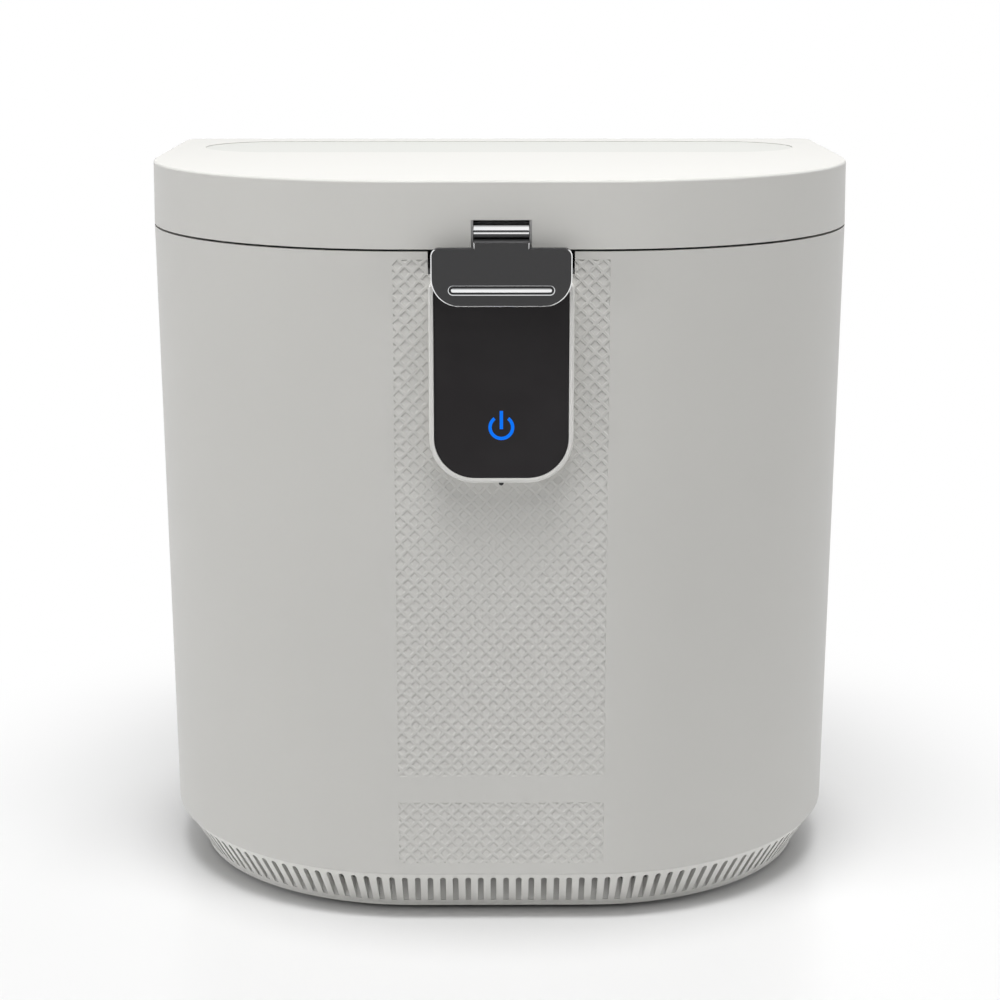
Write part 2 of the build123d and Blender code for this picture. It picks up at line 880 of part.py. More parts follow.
def make_latch_spring():
    near_y = latch_axis_y + knuckle_radius
    front = [
        (near_y + spring_bow, latch_axis_z - spring_low_reach),
        (near_y + spring_gap, latch_axis_z),
        (near_y + spring_bow, latch_axis_z + spring_top_reach),
    ]
    back = [(y + spring_thickness, z) for y, z in reversed(front)]
    return side_prism(front + back, spring_half_width)


# ---- Lid ----------------------------------------------------------------------------------------
def lid_cavity():
    return d_block((lid_bottom_z - 1, total_height - wall), (wall, wall + lid_taper))


def make_lid_shell():
    outside = d_block((lid_bottom_z, total_height), (0, lid_taper))
    outside = fillet(outside.edges().group_by(Axis.Z)[-1], lid_edge_round)
    lid = outside - lid_cavity()
    half = notch_width / 2
    lid -= box((-half, half), (front_y - 1, front_y + wall + 1), (lid_bottom_z - 1, lid_bottom_z + notch_height))
    lid -= inset_block(0, (total_height - inset_recess, total_height + 1))
    boss_z = (liner_z + liner_thickness, total_height - wall)
    for x, y in lid_boss_spots:
        boss = disc(lid_boss_radius, boss_z, x, y)
        hole = disc(screw_radius, (boss_z[0] - 1, boss_z[1] - 2), x, y)
        lid += mirrored(boss)
        lid -= mirrored(hole)
    return lid


def inset_block(gap, z):
    outline = SlotOverall(body_width - 2 * inset_side_gap - 2 * gap, inset_width - 2 * gap)
    return Pos(0, back_y - inset_back_gap - inset_width / 2, z[0]) * extrude(outline, z[1] - z[0])


def make_lid_inset():
    low = total_height - inset_recess
    return inset_block(fit_gap / 2, (low, total_height - inset_sunk))


def make_lid_liner():
    z = (liner_z, liner_z + liner_thickness)
    inset = wall + fit_gap
    liner = d_block(z, (inset, inset))
    liner += tube(collar_radius, deck_hole_radius, (gasket_z + gasket_height, z[0]), 0, axis_y)
    outer = bracket_span()[1] + fit_gap
    bracket_back = latch_axis_y + knuckle_radius + bracket_depth
    liner -= box((-outer, outer), (front_y, bracket_back + fit_gap), (z[0] - 1, z[1] + 1))
    for x, y in lid_boss_spots:
        liner -= mirrored(disc(screw_radius, (z[0] - 1, z[1] + 1), x, y))
    slot = box(liner_slot_radii, (-liner_slot_half, liner_slot_half), (z[0] - 1, z[1] + 1))
    for index in range(liner_slot_count):
        liner -= Pos(0, axis_y, 0) * Rot(0, 0, 360 * index / liner_slot_count) * slot
    inner_x = (duct_x[0] + duct_wall, duct_x[1] - duct_wall)
    inner_y = (duct_y[0] + duct_wall, duct_y[1] - duct_wall)
    return liner - box(inner_x, inner_y, (z[0] - 1, z[1] + 1))


def make_lid_screws():
    screws = []
    for x, y in lid_boss_spots:
        head = disc(screw_head_radius, (liner_z - screw_head_height, liner_z), x, y)
        shank = disc(screw_radius, (liner_z, liner_z + liner_thickness + lid_screw_bite), x, y)
        screws += mirrored(head + shank)
    return screws


def make_lid_gasket():
    z = (gasket_z, gasket_z + gasket_height)
    gasket = tube(collar_radius, deck_hole_radius, z, 0, axis_y)
    return chamfer(gasket.edges().group_by(Axis.Z)[0], 1)


def hinge_leaf(half, direction):
    """A plate on the back face and its stem to the barrel; direction is 1 for the lid, -1 for the body."""
    near = hinge_axis_z + direction * (hinge_radius + hinge_gap)
    far = near + direction * hinge_leaf_height
    y = (back_y, back_y + hinge_leaf_thickness)
    plate = box((-hinge_leaf_half, hinge_leaf_half), y, (min(near, far), max(near, far)))
    stem_z = (min(near, hinge_axis_z), max(near, hinge_axis_z))
    stem = [box(span, (back_y, hinge_axis_y), stem_z) for span in half]
    barrel = [cross_bar(hinge_radius, span, hinge_axis_y, hinge_axis_z) for span in half]
    leaf = plate
    for piece in stem + barrel:
        leaf += piece
    return leaf


def body_spans():
    inner = hinge_lid_half + fit_gap
    return [(-hinge_leaf_half, -inner), (inner, hinge_leaf_half)]


def make_body_hinges():
    leaf = hinge_leaf(body_spans(), -1)
    leaf -= cross_bar(hinge_pin_radius, (-hinge_leaf_half - 1, hinge_leaf_half + 1), hinge_axis_y, hinge_axis_z)
    return mirrored(Pos(hinge_x, 0, 0) * leaf)


def make_lid_hinges():
    leaf = hinge_leaf([(-hinge_lid_half, hinge_lid_half)], 1)
    bore = hinge_pin_radius + run_gap
    leaf -= cross_bar(bore, (-hinge_leaf_half - 1, hinge_leaf_half + 1), hinge_axis_y, hinge_axis_z)
    return mirrored(Pos(hinge_x, 0, 0) * leaf)


def make_hinge_pins():
    pin = cross_bar(hinge_pin_radius, (-hinge_leaf_half, hinge_leaf_half), hinge_axis_y, hinge_axis_z)
    return mirrored(Pos(hinge_x, 0, 0) * pin)


def make_lid_magnet():
    return disc(magnet_radius, (liner_z - magnet_thickness, liner_z), magnet_x, magnet_y)


def make_reed_switch():
    width, depth, height = switch_size
    x = (magnet_x - width / 2, magnet_x + width / 2)
    return box(x, (magnet_y - depth / 2, magnet_y + depth / 2), (deck_z - height, deck_z))


# ---- Bucket and well ----------------------------------------------------------------------------
def bucket_form(grow, floor_z):
    """The bucket's conical form, grown outwards, from a floor up to its flange."""
    top_z = deck_z + bucket_flange
    slope = (bucket_top_radius - bucket_bottom_radius) / (top_z - bucket_floor_z)
    low = bucket_bottom_radius + grow + slope * (floor_z - bucket_floor_z)
    high = bucket_top_radius + grow
    cone = Cone(low, high, top_z - floor_z, align=(Align.CENTER, Align.CENTER, Align.MIN))
    return Pos(0, axis_y, floor_z) * cone


def make_bucket():
    floor_top = bucket_floor_z + bucket_floor
    flange_z = (deck_z, deck_z + bucket_flange)
    bucket = bucket_form(0, bucket_floor_z) + disc(bucket_flange_radius, flange_z, 0, axis_y)
    bucket -= bucket_form(-bucket_wall, floor_top)
    inner = bucket_top_radius - bucket_wall
    ear_z = (deck_z + bucket_flange, deck_z + bucket_flange + ear_height)
    ear_x = (inner + ear_inset, inner + ear_inset + ear_thickness)
    ear = box(ear_x, (axis_y - ear_half, axis_y + ear_half), ear_z)
    ear = fillet(ear.edges().filter_by(Axis.X).group_by(Axis.Z)[-1], ear_corner)
    ear -= cross_bar(bail_wire + run_gap, (inner - 1, inner + ear_thickness + 2), axis_y, bail_z)
    bucket += mirrored(ear)
    return bucket - disc(bush_radius, (bucket_floor_z - 1, floor_top + 1), 0, axis_y)


def make_bucket_bail():
    arc = CenterArc((0, axis_y), bail_radius, 180, 180)
    path = Pos(0, 0, bail_z) * arc
    start = Plane(origin=(-bail_radius, axis_y, bail_z), z_dir=(0, -1, 0))
    wire = sweep(start * Circle(bail_wire), path=path)
    end = bucket_top_radius - bucket_wall - 2
    wire += cross_bar(bail_wire, (end, bail_radius), axis_y, bail_z)
    wire += cross_bar(bail_wire, (-bail_radius, -end), axis_y, bail_z)
    wire += Pos(bail_radius, axis_y, bail_z) * Sphere(bail_wire)
    wire += Pos(-bail_radius, axis_y, bail_z) * Sphere(bail_wire)
    return wire - bail_segment(grip_radius, grip_sweep, bail_wire)


def bail_segment(radius, sweep_angle, bore=0.0):
    """A curved sleeve on the bail's middle stretch."""
    first = 270 - sweep_angle / 2
    arc = Pos(0, 0, bail_z) * CenterArc((0, axis_y), bail_radius, first, sweep_angle)
    place = Plane(origin=arc @ 0, z_dir=arc % 0)
    outline = Circle(radius)
    if bore:
        outline -= Circle(bore)
    return sweep(place * outline, path=arc)


def make_bail_grip():
    return bail_segment(grip_radius, grip_sweep, bail_wire)


def make_bucket_bush():
    z = (bucket_floor_z, bucket_floor_z + bush_height)
    floor_top = bucket_floor_z + bucket_floor
    bush = disc(bush_radius, z, 0, axis_y)
    bush += disc(bush_flange_radius, (floor_top, floor_top + bush_flange), 0, axis_y)
    return bush - disc(paddle_shaft_radius + run_gap, (z[0] - 1, z[1] + 1), 0, axis_y)


def make_cutter_bars():
    inside = bucket_form(-bucket_wall, bucket_floor_z + bucket_floor)
    bars = []
    for index in range(cutter_count):
        turn = cutter_turn + 360 * index / cutter_count
        z = (bucket_floor_z + cutter_rise, bucket_floor_z + cutter_rise + cutter_height)
        bar = box((cutter_inner_radius, bucket_top_radius), (-cutter_width / 2, cutter_width / 2), z)
        bar = Pos(0, axis_y, 0) * Rot(0, 0, turn) * bar
        bars.append(bar & inside)
    return bars


def make_bucket_well():
    z = (well_floor_z, deck_z)
    well = disc(well_radius, z, 0, axis_y)
    well += disc(well_flange_radius, (z[1] - well_flange, z[1]), 0, axis_y)
    well -= disc(well_radius - well_wall, (z[0] + well_wall, z[1] + 1), 0, axis_y)
    return well - disc(well_hole_radius, (z[0] - 1, z[1]), 0, axis_y)


def make_heater_plate():
    z = (well_floor_z - heater_thickness, well_floor_z)
    return tube(well_radius - heater_margin, well_hole_radius + 2, z, 0, axis_y)


def make_well_insulation():
    z = (well_floor_z + insulation_low_rise, deck_z - insulation_drop)
    return tube(insulation_radius, well_radius + insulation_gap, z, 0, axis_y)


# ---- Paddle and drive ---------------------------------------------------------------------------
def paddle_arm(reach, z, lean):
    """A tapered arm along +X, leaning like a plough blade."""
    root = Plane(origin=(hub_top_radius - arm_root_sink, 0, z), x_dir=(0, 1, 0), z_dir=(1, 0, 0))
    tip = Plane(origin=(reach, 0, z), x_dir=(0, 1, 0), z_dir=(1, 0, 0))
    root_face = root * Rot(0, 0, lean) * Rectangle(arm_thickness, arm_height)
    tip_face = tip * Rot(0, 0, lean) * Rectangle(arm_tip_thickness, arm_tip_height)
    return loft([root_face, tip_face], ruled=True)


def make_grinding_paddle():
    top_z = hub_low_z + hub_height
    cone = Cone(hub_low_radius, hub_top_radius, hub_height, align=(Align.CENTER, Align.CENTER, Align.MIN))
    hub = Pos(0, 0, hub_low_z) * cone
    hub = fillet(hub.edges().group_by(Axis.Z)[-1], hub_round)
    low_arm_z = hub_low_z + arm_height / 2 + arm_low_gap
    for turn in (0, 180):
        hub += Rot(0, 0, turn) * paddle_arm(bucket_bottom_radius - arm_gap, low_arm_z, arm_lean)
    for turn in (90, 270):
        arm = paddle_arm(bucket_bottom_radius - upper_arm_gap, low_arm_z + upper_arm_rise, -arm_lean)
        hub += Rot(0, 0, turn) * arm
    cavity_top = bucket_floor_z + bush_height + 1
    hub -= disc(bush_flange_radius + 1, (hub_low_z - 1, cavity_top))
    hub -= disc(paddle_shaft_radius, (cavity_top - 1, top_z - hub_cap))
    return Pos(0, axis_y, 0) * hub


def make_paddle_shaft():
    return disc(paddle_shaft_radius, (coupling_z + fit_gap, hub_low_z + hub_height - hub_cap), 0, axis_y)


def coupling_half(z, dog_z, bore, first_turn):
    half = disc(coupling_radius, z)
    for index in range(dog_count):
        turn = first_turn + 360 * index / dog_count
        sector = make_face([
            Line((0, 0), (coupling_radius, 0)),
            CenterArc((0, 0), coupling_radius, 0, dog_sweep),
            Line((coupling_radius * cos(radians(dog_sweep)), coupling_radius * sin(radians(dog_sweep))), (0, 0)),
        ])
        dog = Pos(0, 0, dog_z[0]) * Rot(0, 0, turn) * extrude(sector, dog_z[1] - dog_z[0])
        half += dog - disc(paddle_shaft_radius + 1, (dog_z[0] - 1, dog_z[1] + 1))
    half -= disc(bore, (z[0] - 1, z[1] + 1))
    return Pos(0, axis_y, 0) * half


def make_coupling_lower():
    top = coupling_z - dog_height
    return coupling_half((top - coupling_plate, top), (top, coupling_z - fit_gap), shaft_radius, dog_turn)


def make_coupling_upper():
    z = (coupling_z, coupling_z + coupling_plate)
    dog_z = (coupling_z - dog_height + fit_gap, coupling_z)
    return coupling_half(z, dog_z, paddle_shaft_radius, dog_turn + 180 / dog_count)


def make_output_shaft():
    return disc(shaft_radius, (tray_z - bearing_width - output_shaft_tail, coupling_z - dog_height), 0, axis_y)


def make_output_gear():
    z = (output_gear_z, output_gear_z + output_gear_width)
    wheel = gear(output_module, output_teeth, z, shaft_radius, 0, 0, axis_y)
    window = Cylinder(window_radius * output_module, output_gear_width + 2)
    for index in range(window_count):
        spot = Rot(0, 0, window_turn + 360 * index / window_count) * Pos(window_ring * output_module, 0, 0)
        wheel -= Pos(0, axis_y, (z[0] + z[1]) / 2) * spot * window
    return wheel


def make_idler_gear():
    low_z = (output_gear_z - 1, output_gear_z + output_gear_width + 1)
    high_z = (idler_gear_z, idler_gear_z + idler_gear_width)
    gap_phase = 180 + 180 / idler_pinion_teeth
    bore = idler_pin_radius + run_gap
    idler = gear(output_module, idler_pinion_teeth, low_z, bore, gap_phase, idler_x, axis_y)
    idler += gear(idler_module, idler_teeth, high_z, bore, motor_angle, idler_x, axis_y)
    return idler + tube(idler_pin_radius + idler_sleeve, bore, (low_z[1], high_z[0]), idler_x, axis_y)


def make_motor_pinion():
    z = (idler_gear_z - 0.5, idler_gear_z + idler_gear_width + 0.5)
    phase = motor_angle + 180 + 180 / motor_teeth
    pinion = gear(idler_module, motor_teeth, z, motor_shaft_radius - 0.5, phase, motor_x, motor_y)
    return pinion + disc(motor_shaft_radius, (tray_z - motor_shaft_tail, z[1]), motor_x, motor_y)


def make_idler_pin():
    return disc(idler_pin_radius, (tray_z, cover_z + cover_thickness), idler_x, axis_y)


def gearbox_outline(grow):
    tips = [
        (0, axis_y, output_module * (output_teeth / 2 + tooth_height)),
        (idler_x, axis_y, idler_module * (idler_teeth / 2 + tooth_height)),
        (motor_x, motor_y, idler_module * (motor_teeth / 2 + tooth_height)),
    ]
    circles = [Pos(x, y) * Circle(radius + grow) for x, y, radius in tips]
    return make_hull([edge for circle in circles for edge in circle.edges()])


def make_gearbox_tray():
    outer = gearbox_outline(tray_clearance + tray_wall)
    inner = gearbox_outline(tray_clearance)
    tray = Pos(0, 0, tray_z) * extrude(outer, tray_height)
    tray -= Pos(0, 0, tray_z + tray_floor) * extrude(inner, tray_height)
    boss_z = (tray_z - bearing_width - bearing_boss, tray_z + tray_floor)
    tray += disc(bearing_radius + bearing_boss, boss_z, 0, axis_y)
    tray -= disc(bearing_radius, (tray_z - bearing_width, boss_z[1] + 1), 0, axis_y)
    tray -= disc(shaft_radius + 2, (boss_z[0] - 1, boss_z[1]), 0, axis_y)
    tray -= disc(idler_pin_radius, (tray_z - 1, tray_z + tray_floor + 1), idler_x, axis_y)
    hole_z = (tray_z - 1, tray_z + tray_floor + 1)
    return tray - disc(motor_shaft_radius + motor_shaft_gap, hole_z, motor_x, motor_y)


def make_gearbox_cover():
    cover = Pos(0, 0, cover_z) * extrude(gearbox_outline(tray_clearance + tray_wall), cover_thickness)
    boss_z = (cover_z, cover_z + bearing_width + bearing_boss)
    cover += disc(bearing_radius + bearing_boss, boss_z, 0, axis_y)
    cover -= disc(bearing_radius, (cover_z - 1, cover_z + bearing_width), 0, axis_y)
    cover -= disc(shaft_radius + 2, (cover_z, boss_z[1] + 1), 0, axis_y)
    cover -= disc(idler_pin_radius, (cover_z - 1, cover_z + cover_thickness + 1), idler_x, axis_y)
    for x, y in cover_posts:
        cover += disc(post_radius, (cover_z + cover_thickness, plate_z), x, axis_y + y)
    return cover


def make_output_bearings():
    inner = shaft_radius + run_gap
    lower = tube(bearing_radius, inner, (tray_z - bearing_width, tray_z), 0, axis_y)
    upper = tube(bearing_radius, inner, (cover_z, cover_z + bearing_width), 0, axis_y)
    return [lower, upper]


def make_motor_case():
    case = disc(motor_radius, (motor_z, tray_z), motor_x, motor_y)
    case = fillet(case.edges().group_by(Axis.Z)[0], motor_round)
    hole_z = (tray_z - motor_shaft_tail - 2, tray_z + 1)
    return case - disc(motor_shaft_radius + run_gap, hole_z, motor_x, motor_y)


# ---- Air path -----------------------------------------------------------------------------------
def make_fan_case():
    z = (fan_z, fan_z + fan_height)
    outlet_y = (fan_y, bay_front_y)
    case = disc(fan_case_radius, z, fan_x, fan_y)
    case += box(outlet_x, outlet_y, (outlet_z[0] - fan_wall, outlet_z[1] + fan_wall))
    inner_z = (z[0] + fan_wall, z[1] - fan_wall)
    case -= disc(fan_case_radius - fan_wall, inner_z, fan_x, fan_y)
    inner_x = (outlet_x[0] + fan_wall, outlet_x[1] - fan_wall)
    case -= box(inner_x, (outlet_y[0], outlet_y[1] + 1), outlet_z)
    case -= disc(fan_inlet_radius, (inner_z[1] - 1, z[1] + 1), fan_x, fan_y)
    return case - disc(fan_shaft_radius + 1, (z[0] - 1, inner_z[0] + 1), fan_x, fan_y)


def make_fan_impeller():
    back_z = fan_z + fan_wall + 2
    impeller_radius = fan_case_radius - fan_wall - impeller_gap
    impeller = disc(impeller_radius, (back_z, back_z + 2))
    impeller += disc(impeller_hub_radius, (back_z + 2, back_z + 2 + impeller_hub_height))
    middle_radius = (impeller_hub_radius + impeller_radius) / 2
    blade_arc = ThreePointArc(
        (impeller_hub_radius + blade_root_gap, 0),
        (middle_radius, blade_sweep[0]),
        (impeller_radius - 1, blade_sweep[1]),
    )
    blade = Pos(0, 0, back_z + 2) * extrude(trace(blade_arc, blade_thickness), impeller_blade_height)
    for index in range(impeller_blades):
        impeller += Rot(0, 0, 360 * index / impeller_blades) * blade
    impeller += disc(fan_shaft_radius, (fan_z - fan_shaft_tail, back_z))
    return Pos(fan_x, fan_y, 0) * impeller


def make_fan_motor():
    motor = disc(fan_motor_radius, (fan_z - fan_motor_height, fan_z), fan_x, fan_y)
    return motor - disc(fan_shaft_radius + run_gap, (fan_z - fan_shaft_tail - 1, fan_z + 1), fan_x, fan_y)


def duct_outline(gap):
    size_x = duct_x[1] - duct_x[0] - 2 * gap
    size_y = duct_y[1] - duct_y[0] - 2 * gap
    return Pos((duct_x[0] + duct_x[1]) / 2, (duct_y[0] + duct_y[1]) / 2) * Rectangle(size_x, size_y)


def make_air_duct():
    top = extrude(Pos(0, 0, plate_z) * duct_outline(0), deck_z - plate_z)
    top -= extrude(Pos(0, 0, plate_z - 1) * duct_outline(duct_wall), deck_z - plate_z + 2)
    foot = Pos(fan_x, fan_y, fan_z + fan_height)
    outer_foot = foot * RectangleRounded(duct_foot, duct_foot, duct_foot / 2 - 2)
    inner_size = duct_foot - 2 * fan_wall
    inner_foot = foot * RectangleRounded(inner_size, inner_size, inner_size / 2 - 2)
    outer_top = Pos(0, 0, plate_z) * fillet(duct_outline(0).vertices(), 2)
    inner_top = Pos(0, 0, plate_z) * fillet(duct_outline(duct_wall).vertices(), 1)
    bend = loft([outer_foot, outer_top], ruled=True) - loft([inner_foot, inner_top], ruled=True)
    return top + bend


def make_filter_bay():
    y = (bay_front_y, back_y - wall)
    bay = box(bay_x, y, bay_z)
    inner_x = (bay_x[0] + bay_wall, bay_x[1] - bay_wall)
    inner_z = (bay_z[0] + bay_wall, bay_z[1] - bay_wall)
    bay -= box(inner_x, (y[0] + bay_wall, y[1] + 1), inner_z)
    inner_outlet = (outlet_x[0] + fan_wall, outlet_x[1] - fan_wall)
    return bay - box(inner_outlet, (y[0] - 1, y[0] + bay_wall + 1), outlet_z)


def drawer_spans():
    x = (bay_x[0] + bay_wall + drawer_gap, bay_x[1] - bay_wall - drawer_gap)
    y = (bay_front_y + bay_wall + drawer_back_gap, back_y - drawer_front_thickness)
    low = bay_z[0] + bay_wall + drawer_gap
    return x, y, (low, low + drawer_side_height)


def make_filter_drawer():
    x, y, z = drawer_spans()
    drawer = box(x, y, z)
    inner_x = (x[0] + drawer_wall, x[1] - drawer_wall)
    drawer -= box(inner_x, (y[0] + drawer_wall, y[1]), (z[0] + drawer_wall, z[1] + 1))
    overhang = drawer_gap - fit_gap
    front_x = (x[0] - overhang, x[1] + overhang)
    front_z = (z[0] - overhang, bay_z[1] - bay_wall - fit_gap)
    drawer += box(front_x, (y[1], back_y), front_z)
    for index in range(louvre_count):
        low = z[0] + louvre_low_rise + index * louvre_pitch
        span = (x[0] + louvre_margin, x[1] - louvre_margin)
        drawer -= box(span, (y[1] - 1, back_y + 1), (low, low + louvre_height))
    return drawer


def make_drawer_pull():
    x = drawer_spans()[0]
    middle = (x[0] + x[1]) / 2
    span = (middle - pull_width / 2, middle + pull_width / 2)
    low = bay_z[1] - pull_drop
    bar = box(span, (back_y, back_y + pull_reach), (low, low + pull_thickness))
    lip_y = (back_y + pull_reach - pull_lip_thickness, back_y + pull_reach)
    bar += box(span, lip_y, (low - pull_lip_drop, low))
    return fillet(bar.edges().filter_by(Axis.Z).group_by(Axis.Y)[-1], pull_corner)


def make_drawer_seal():
    y = (bay_front_y + bay_wall, bay_front_y + bay_wall + seal_thickness)
    outer_x = (outlet_x[0] - seal_border, outlet_x[1] + seal_border)
    inner_x = (outlet_x[0] + fan_wall, outlet_x[1] - fan_wall)
    seal = box(outer_x, y, (outlet_z[0] - fan_wall, outlet_z[1] + fan_wall))
    return seal - box(inner_x, (y[0] - 1, y[1] + 1), outlet_z)


def make_carbon_block():
    x, y, z = drawer_spans()
    inside = drawer_wall + block_gap
    block_y = (y[0] + inside, y[1] - block_front_gap)
    return box((x[0] + inside, x[1] - inside), block_y, (z[0] + drawer_wall, z[0] + drawer_wall + block_height))


# ---- Electrics ----------------------------------------------------------------------------------
def inlet_block(width, height, y):
    x = (inlet_x - width / 2, inlet_x + width / 2)
    return box(x, y, (inlet_z - height / 2, inlet_z + height / 2))


def make_inlet_socket():
    inner_y = back_y + inlet_wall - inlet_depth
    socket = inlet_block(inlet_width, inlet_height, (inner_y, back_y))
    socket += inlet_block(inlet_width + 2 * inlet_rim, inlet_height + 2 * inlet_rim, (back_y, back_y + inlet_wall))
    cavity_y = (back_y + inlet_wall - inlet_cavity_depth, back_y + inlet_wall + 1)
    return socket - inlet_block(inlet_cavity_width, inlet_cavity_height, cavity_y)


def make_inlet_blades():
    width, length, thickness = blade_size
    low_y = back_y + inlet_wall - inlet_cavity_depth
    blades = []
    for shift, drop in ((-blade_spread, blade_drop), (0, earth_blade_drop), (blade_spread, blade_drop)):
        x = (inlet_x + shift - thickness / 2, inlet_x + shift + thickness / 2)
        z = (inlet_z - drop - width / 2, inlet_z - drop + width / 2)
        blades.append(box(x, (low_y, low_y + length), z))
    return blades


def make_power_board():
    return box(board_x, board_y, (board_z, board_z + board_thickness))


def make_board_parts():
    top = board_z + board_thickness
    width, length, height = transformer_size
    low_x, low_y = board_x[0] + transformer_margin[0], board_y[0] + transformer_margin[1]
    transformer = box((low_x, low_x + width), (low_y, low_y + length), (top, top + height))
    z = (top, top + capacitor_height)
    x = board_x[1] - capacitor_margin
    capacitors = [disc(capacitor_radius, z, x, board_y[0] + row) for row in capacitor_rows]
    return [chamfer(transformer.edges(), 1)] + capacitors


def make_board_standoffs():
    posts = []
    for x in (board_x[0] + standoff_margin, board_x[1] - standoff_margin):
        for y in (board_y[0] + standoff_margin, board_y[1] - standoff_margin):
            posts.append(disc(standoff_radius, (board_z + board_thickness, plate_z), x, y))
    return posts


# ---- All nodes ----------------------------------------------------------------------------------
nodes = {
    "outer_shell": make_outer_shell(),
    "vent_ring": make_vent_ring(),
    "base_plate": make_base_plate(),
    "feet": make_feet(),
    "support_plate": make_support_plate(),
    "top_deck": make_top_deck(),
    "latch_keeper": make_latch_keeper(),
    "keeper_screws": make_keeper_screws(),
    "control_bezel": make_control_bezel(),
    "control_panel": make_control_panel(),
    "power_icon": make_power_icon(),
    "light_guide": make_light_guide(),
    "control_board": make_control_board(),
    "body_hinges": make_body_hinges(),
    "hinge_pins": make_hinge_pins(),
    "reed_switch": make_reed_switch(),
    "bucket": make_bucket(),
    "bucket_bail": make_bucket_bail(),
    "bail_grip": make_bail_grip(),
    "bucket_bush": make_bucket_bush(),
    "cutter_bars": make_cutter_bars(),
    "bucket_well": make_bucket_well(),
    "heater_plate": make_heater_plate(),
    "well_insulation": make_well_insulation(),
    "gearbox_tray": make_gearbox_tray(),
    "gearbox_cover": make_gearbox_cover(),
    "output_bearings": make_output_bearings(),
    "idler_pin": make_idler_pin(),
    "motor_case": make_motor_case(),
    "fan_case": make_fan_case(),
    "fan_motor": make_fan_motor(),
    "air_duct": make_air_duct(),
    "filter_bay": make_filter_bay(),
    "drawer_seal": make_drawer_seal(),
    "inlet_socket": make_inlet_socket(),
    "inlet_blades": make_inlet_blades(),
    "power_board": make_power_board(),
    "board_parts": make_board_parts(),
    "board_standoffs": make_board_standoffs(),
    "lid_shell": make_lid_shell(),
    "lid_inset": make_lid_inset(),
    "lid_liner": make_lid_liner(),
    "lid_screws": make_lid_screws(),
    "lid_gasket": make_lid_gasket(),
    "lid_hinges": make_lid_hinges(),
    "lid_magnet": make_lid_magnet(),
    "latch_bracket": make_latch_bracket(),
    "latch_pin": make_latch_pin(),
    "latch_spring": make_latch_spring(),
    "latch_plate": make_latch_plate(),
    "latch_knuckle": make_latch_knuckle(),
    "latch_bar": make_latch_bar(),
    "latch_claw": make_latch_claw(),
    "grinding_paddle": make_grinding_paddle(),
    "paddle_shaft": make_paddle_shaft(),
    "coupling_upper": make_coupling_upper(),
    "coupling_lower": make_coupling_lower(),
    "output_shaft": make_output_shaft(),
    "output_gear": make_output_gear(),
    "idler_gear": make_idler_gear(),
    "motor_pinion": make_motor_pinion(),
    "fan_impeller": make_fan_impeller(),
    "filter_drawer": make_filter_drawer(),
    "drawer_pull": make_drawer_pull(),
    "carbon_block": make_carbon_block(),
}

for name, shape in nodes.items():
    group = shape if isinstance(shape, list) else [shape]
    solids = [solid for piece in group for solid in piece.solids()]
    export_step(solids[0] if len(solids) == 1 else Compound(children=solids), f"parts/{name}.step")
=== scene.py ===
"""Electric food waste composter: finishes, moulded details, light and camera.

Metres, in the frame of the solids: +Z is up, the flat front faces -Y, and the plan is even about
X = 0.
"""

import bmesh
import bpy
from math import atan2, exp, radians, sqrt
from mathutils import Matrix, Vector


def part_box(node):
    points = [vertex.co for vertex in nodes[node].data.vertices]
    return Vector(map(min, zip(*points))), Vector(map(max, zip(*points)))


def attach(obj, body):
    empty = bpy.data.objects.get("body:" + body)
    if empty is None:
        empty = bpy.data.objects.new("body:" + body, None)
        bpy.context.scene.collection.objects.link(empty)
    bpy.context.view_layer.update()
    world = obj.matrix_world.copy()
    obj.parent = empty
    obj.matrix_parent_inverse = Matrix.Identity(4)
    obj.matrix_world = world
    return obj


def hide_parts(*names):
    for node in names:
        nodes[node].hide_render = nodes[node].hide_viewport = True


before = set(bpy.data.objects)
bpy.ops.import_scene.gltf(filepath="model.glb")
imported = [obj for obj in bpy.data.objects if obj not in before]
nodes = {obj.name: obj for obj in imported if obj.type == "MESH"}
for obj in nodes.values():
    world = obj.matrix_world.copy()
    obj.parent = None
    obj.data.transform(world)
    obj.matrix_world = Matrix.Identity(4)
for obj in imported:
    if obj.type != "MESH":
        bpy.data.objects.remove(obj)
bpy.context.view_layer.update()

MM = 0.001

# ---- Places read from the solids ----------------------------------------------------------------
shell_low, shell_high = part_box("outer_shell")
lid_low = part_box("lid_shell")[0]
latch_low, latch_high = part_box("latch_plate")
bezel_low, bezel_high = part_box("control_bezel")
knuckle_low, knuckle_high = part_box("latch_knuckle")

front_y = shell_low.y
half_width = shell_high.x
shell_top_z = shell_high.z
half_flat = 42 * MM
corner_radius = half_width - half_flat
# How far the shell's walls lean inwards for each unit downwards.
front_slope = 0.0085


# ---- Finishes -----------------------------------------------------------------------------------
class Shade:
    """A number that varies over a surface. Arithmetic on it adds Math nodes."""

    def __init__(self, finish, socket):
        self.finish = finish
        self.socket = socket

    def math(self, operation, *values):
        return self.finish.node("ShaderNodeMath", {"operation": operation}, dict(enumerate(values)))

    def __add__(self, other):
        return self.math("ADD", self, other)

    def __sub__(self, other):
        return self.math("SUBTRACT", self, other)

    def __rsub__(self, other):
        return self.math("SUBTRACT", other, self)

    def __mul__(self, other):
        return self.math("MULTIPLY", self, other)

    __radd__ = __add__
    __rmul__ = __mul__

    def within(self, low, high):
        """0 at low, 1 at high, and clamped outside."""
        settings = {"interpolation_type": "SMOOTHSTEP"}
        inputs = {"Value": self, "From Min": low, "From Max": high}
        return self.finish.node("ShaderNodeMapRange", settings, inputs)


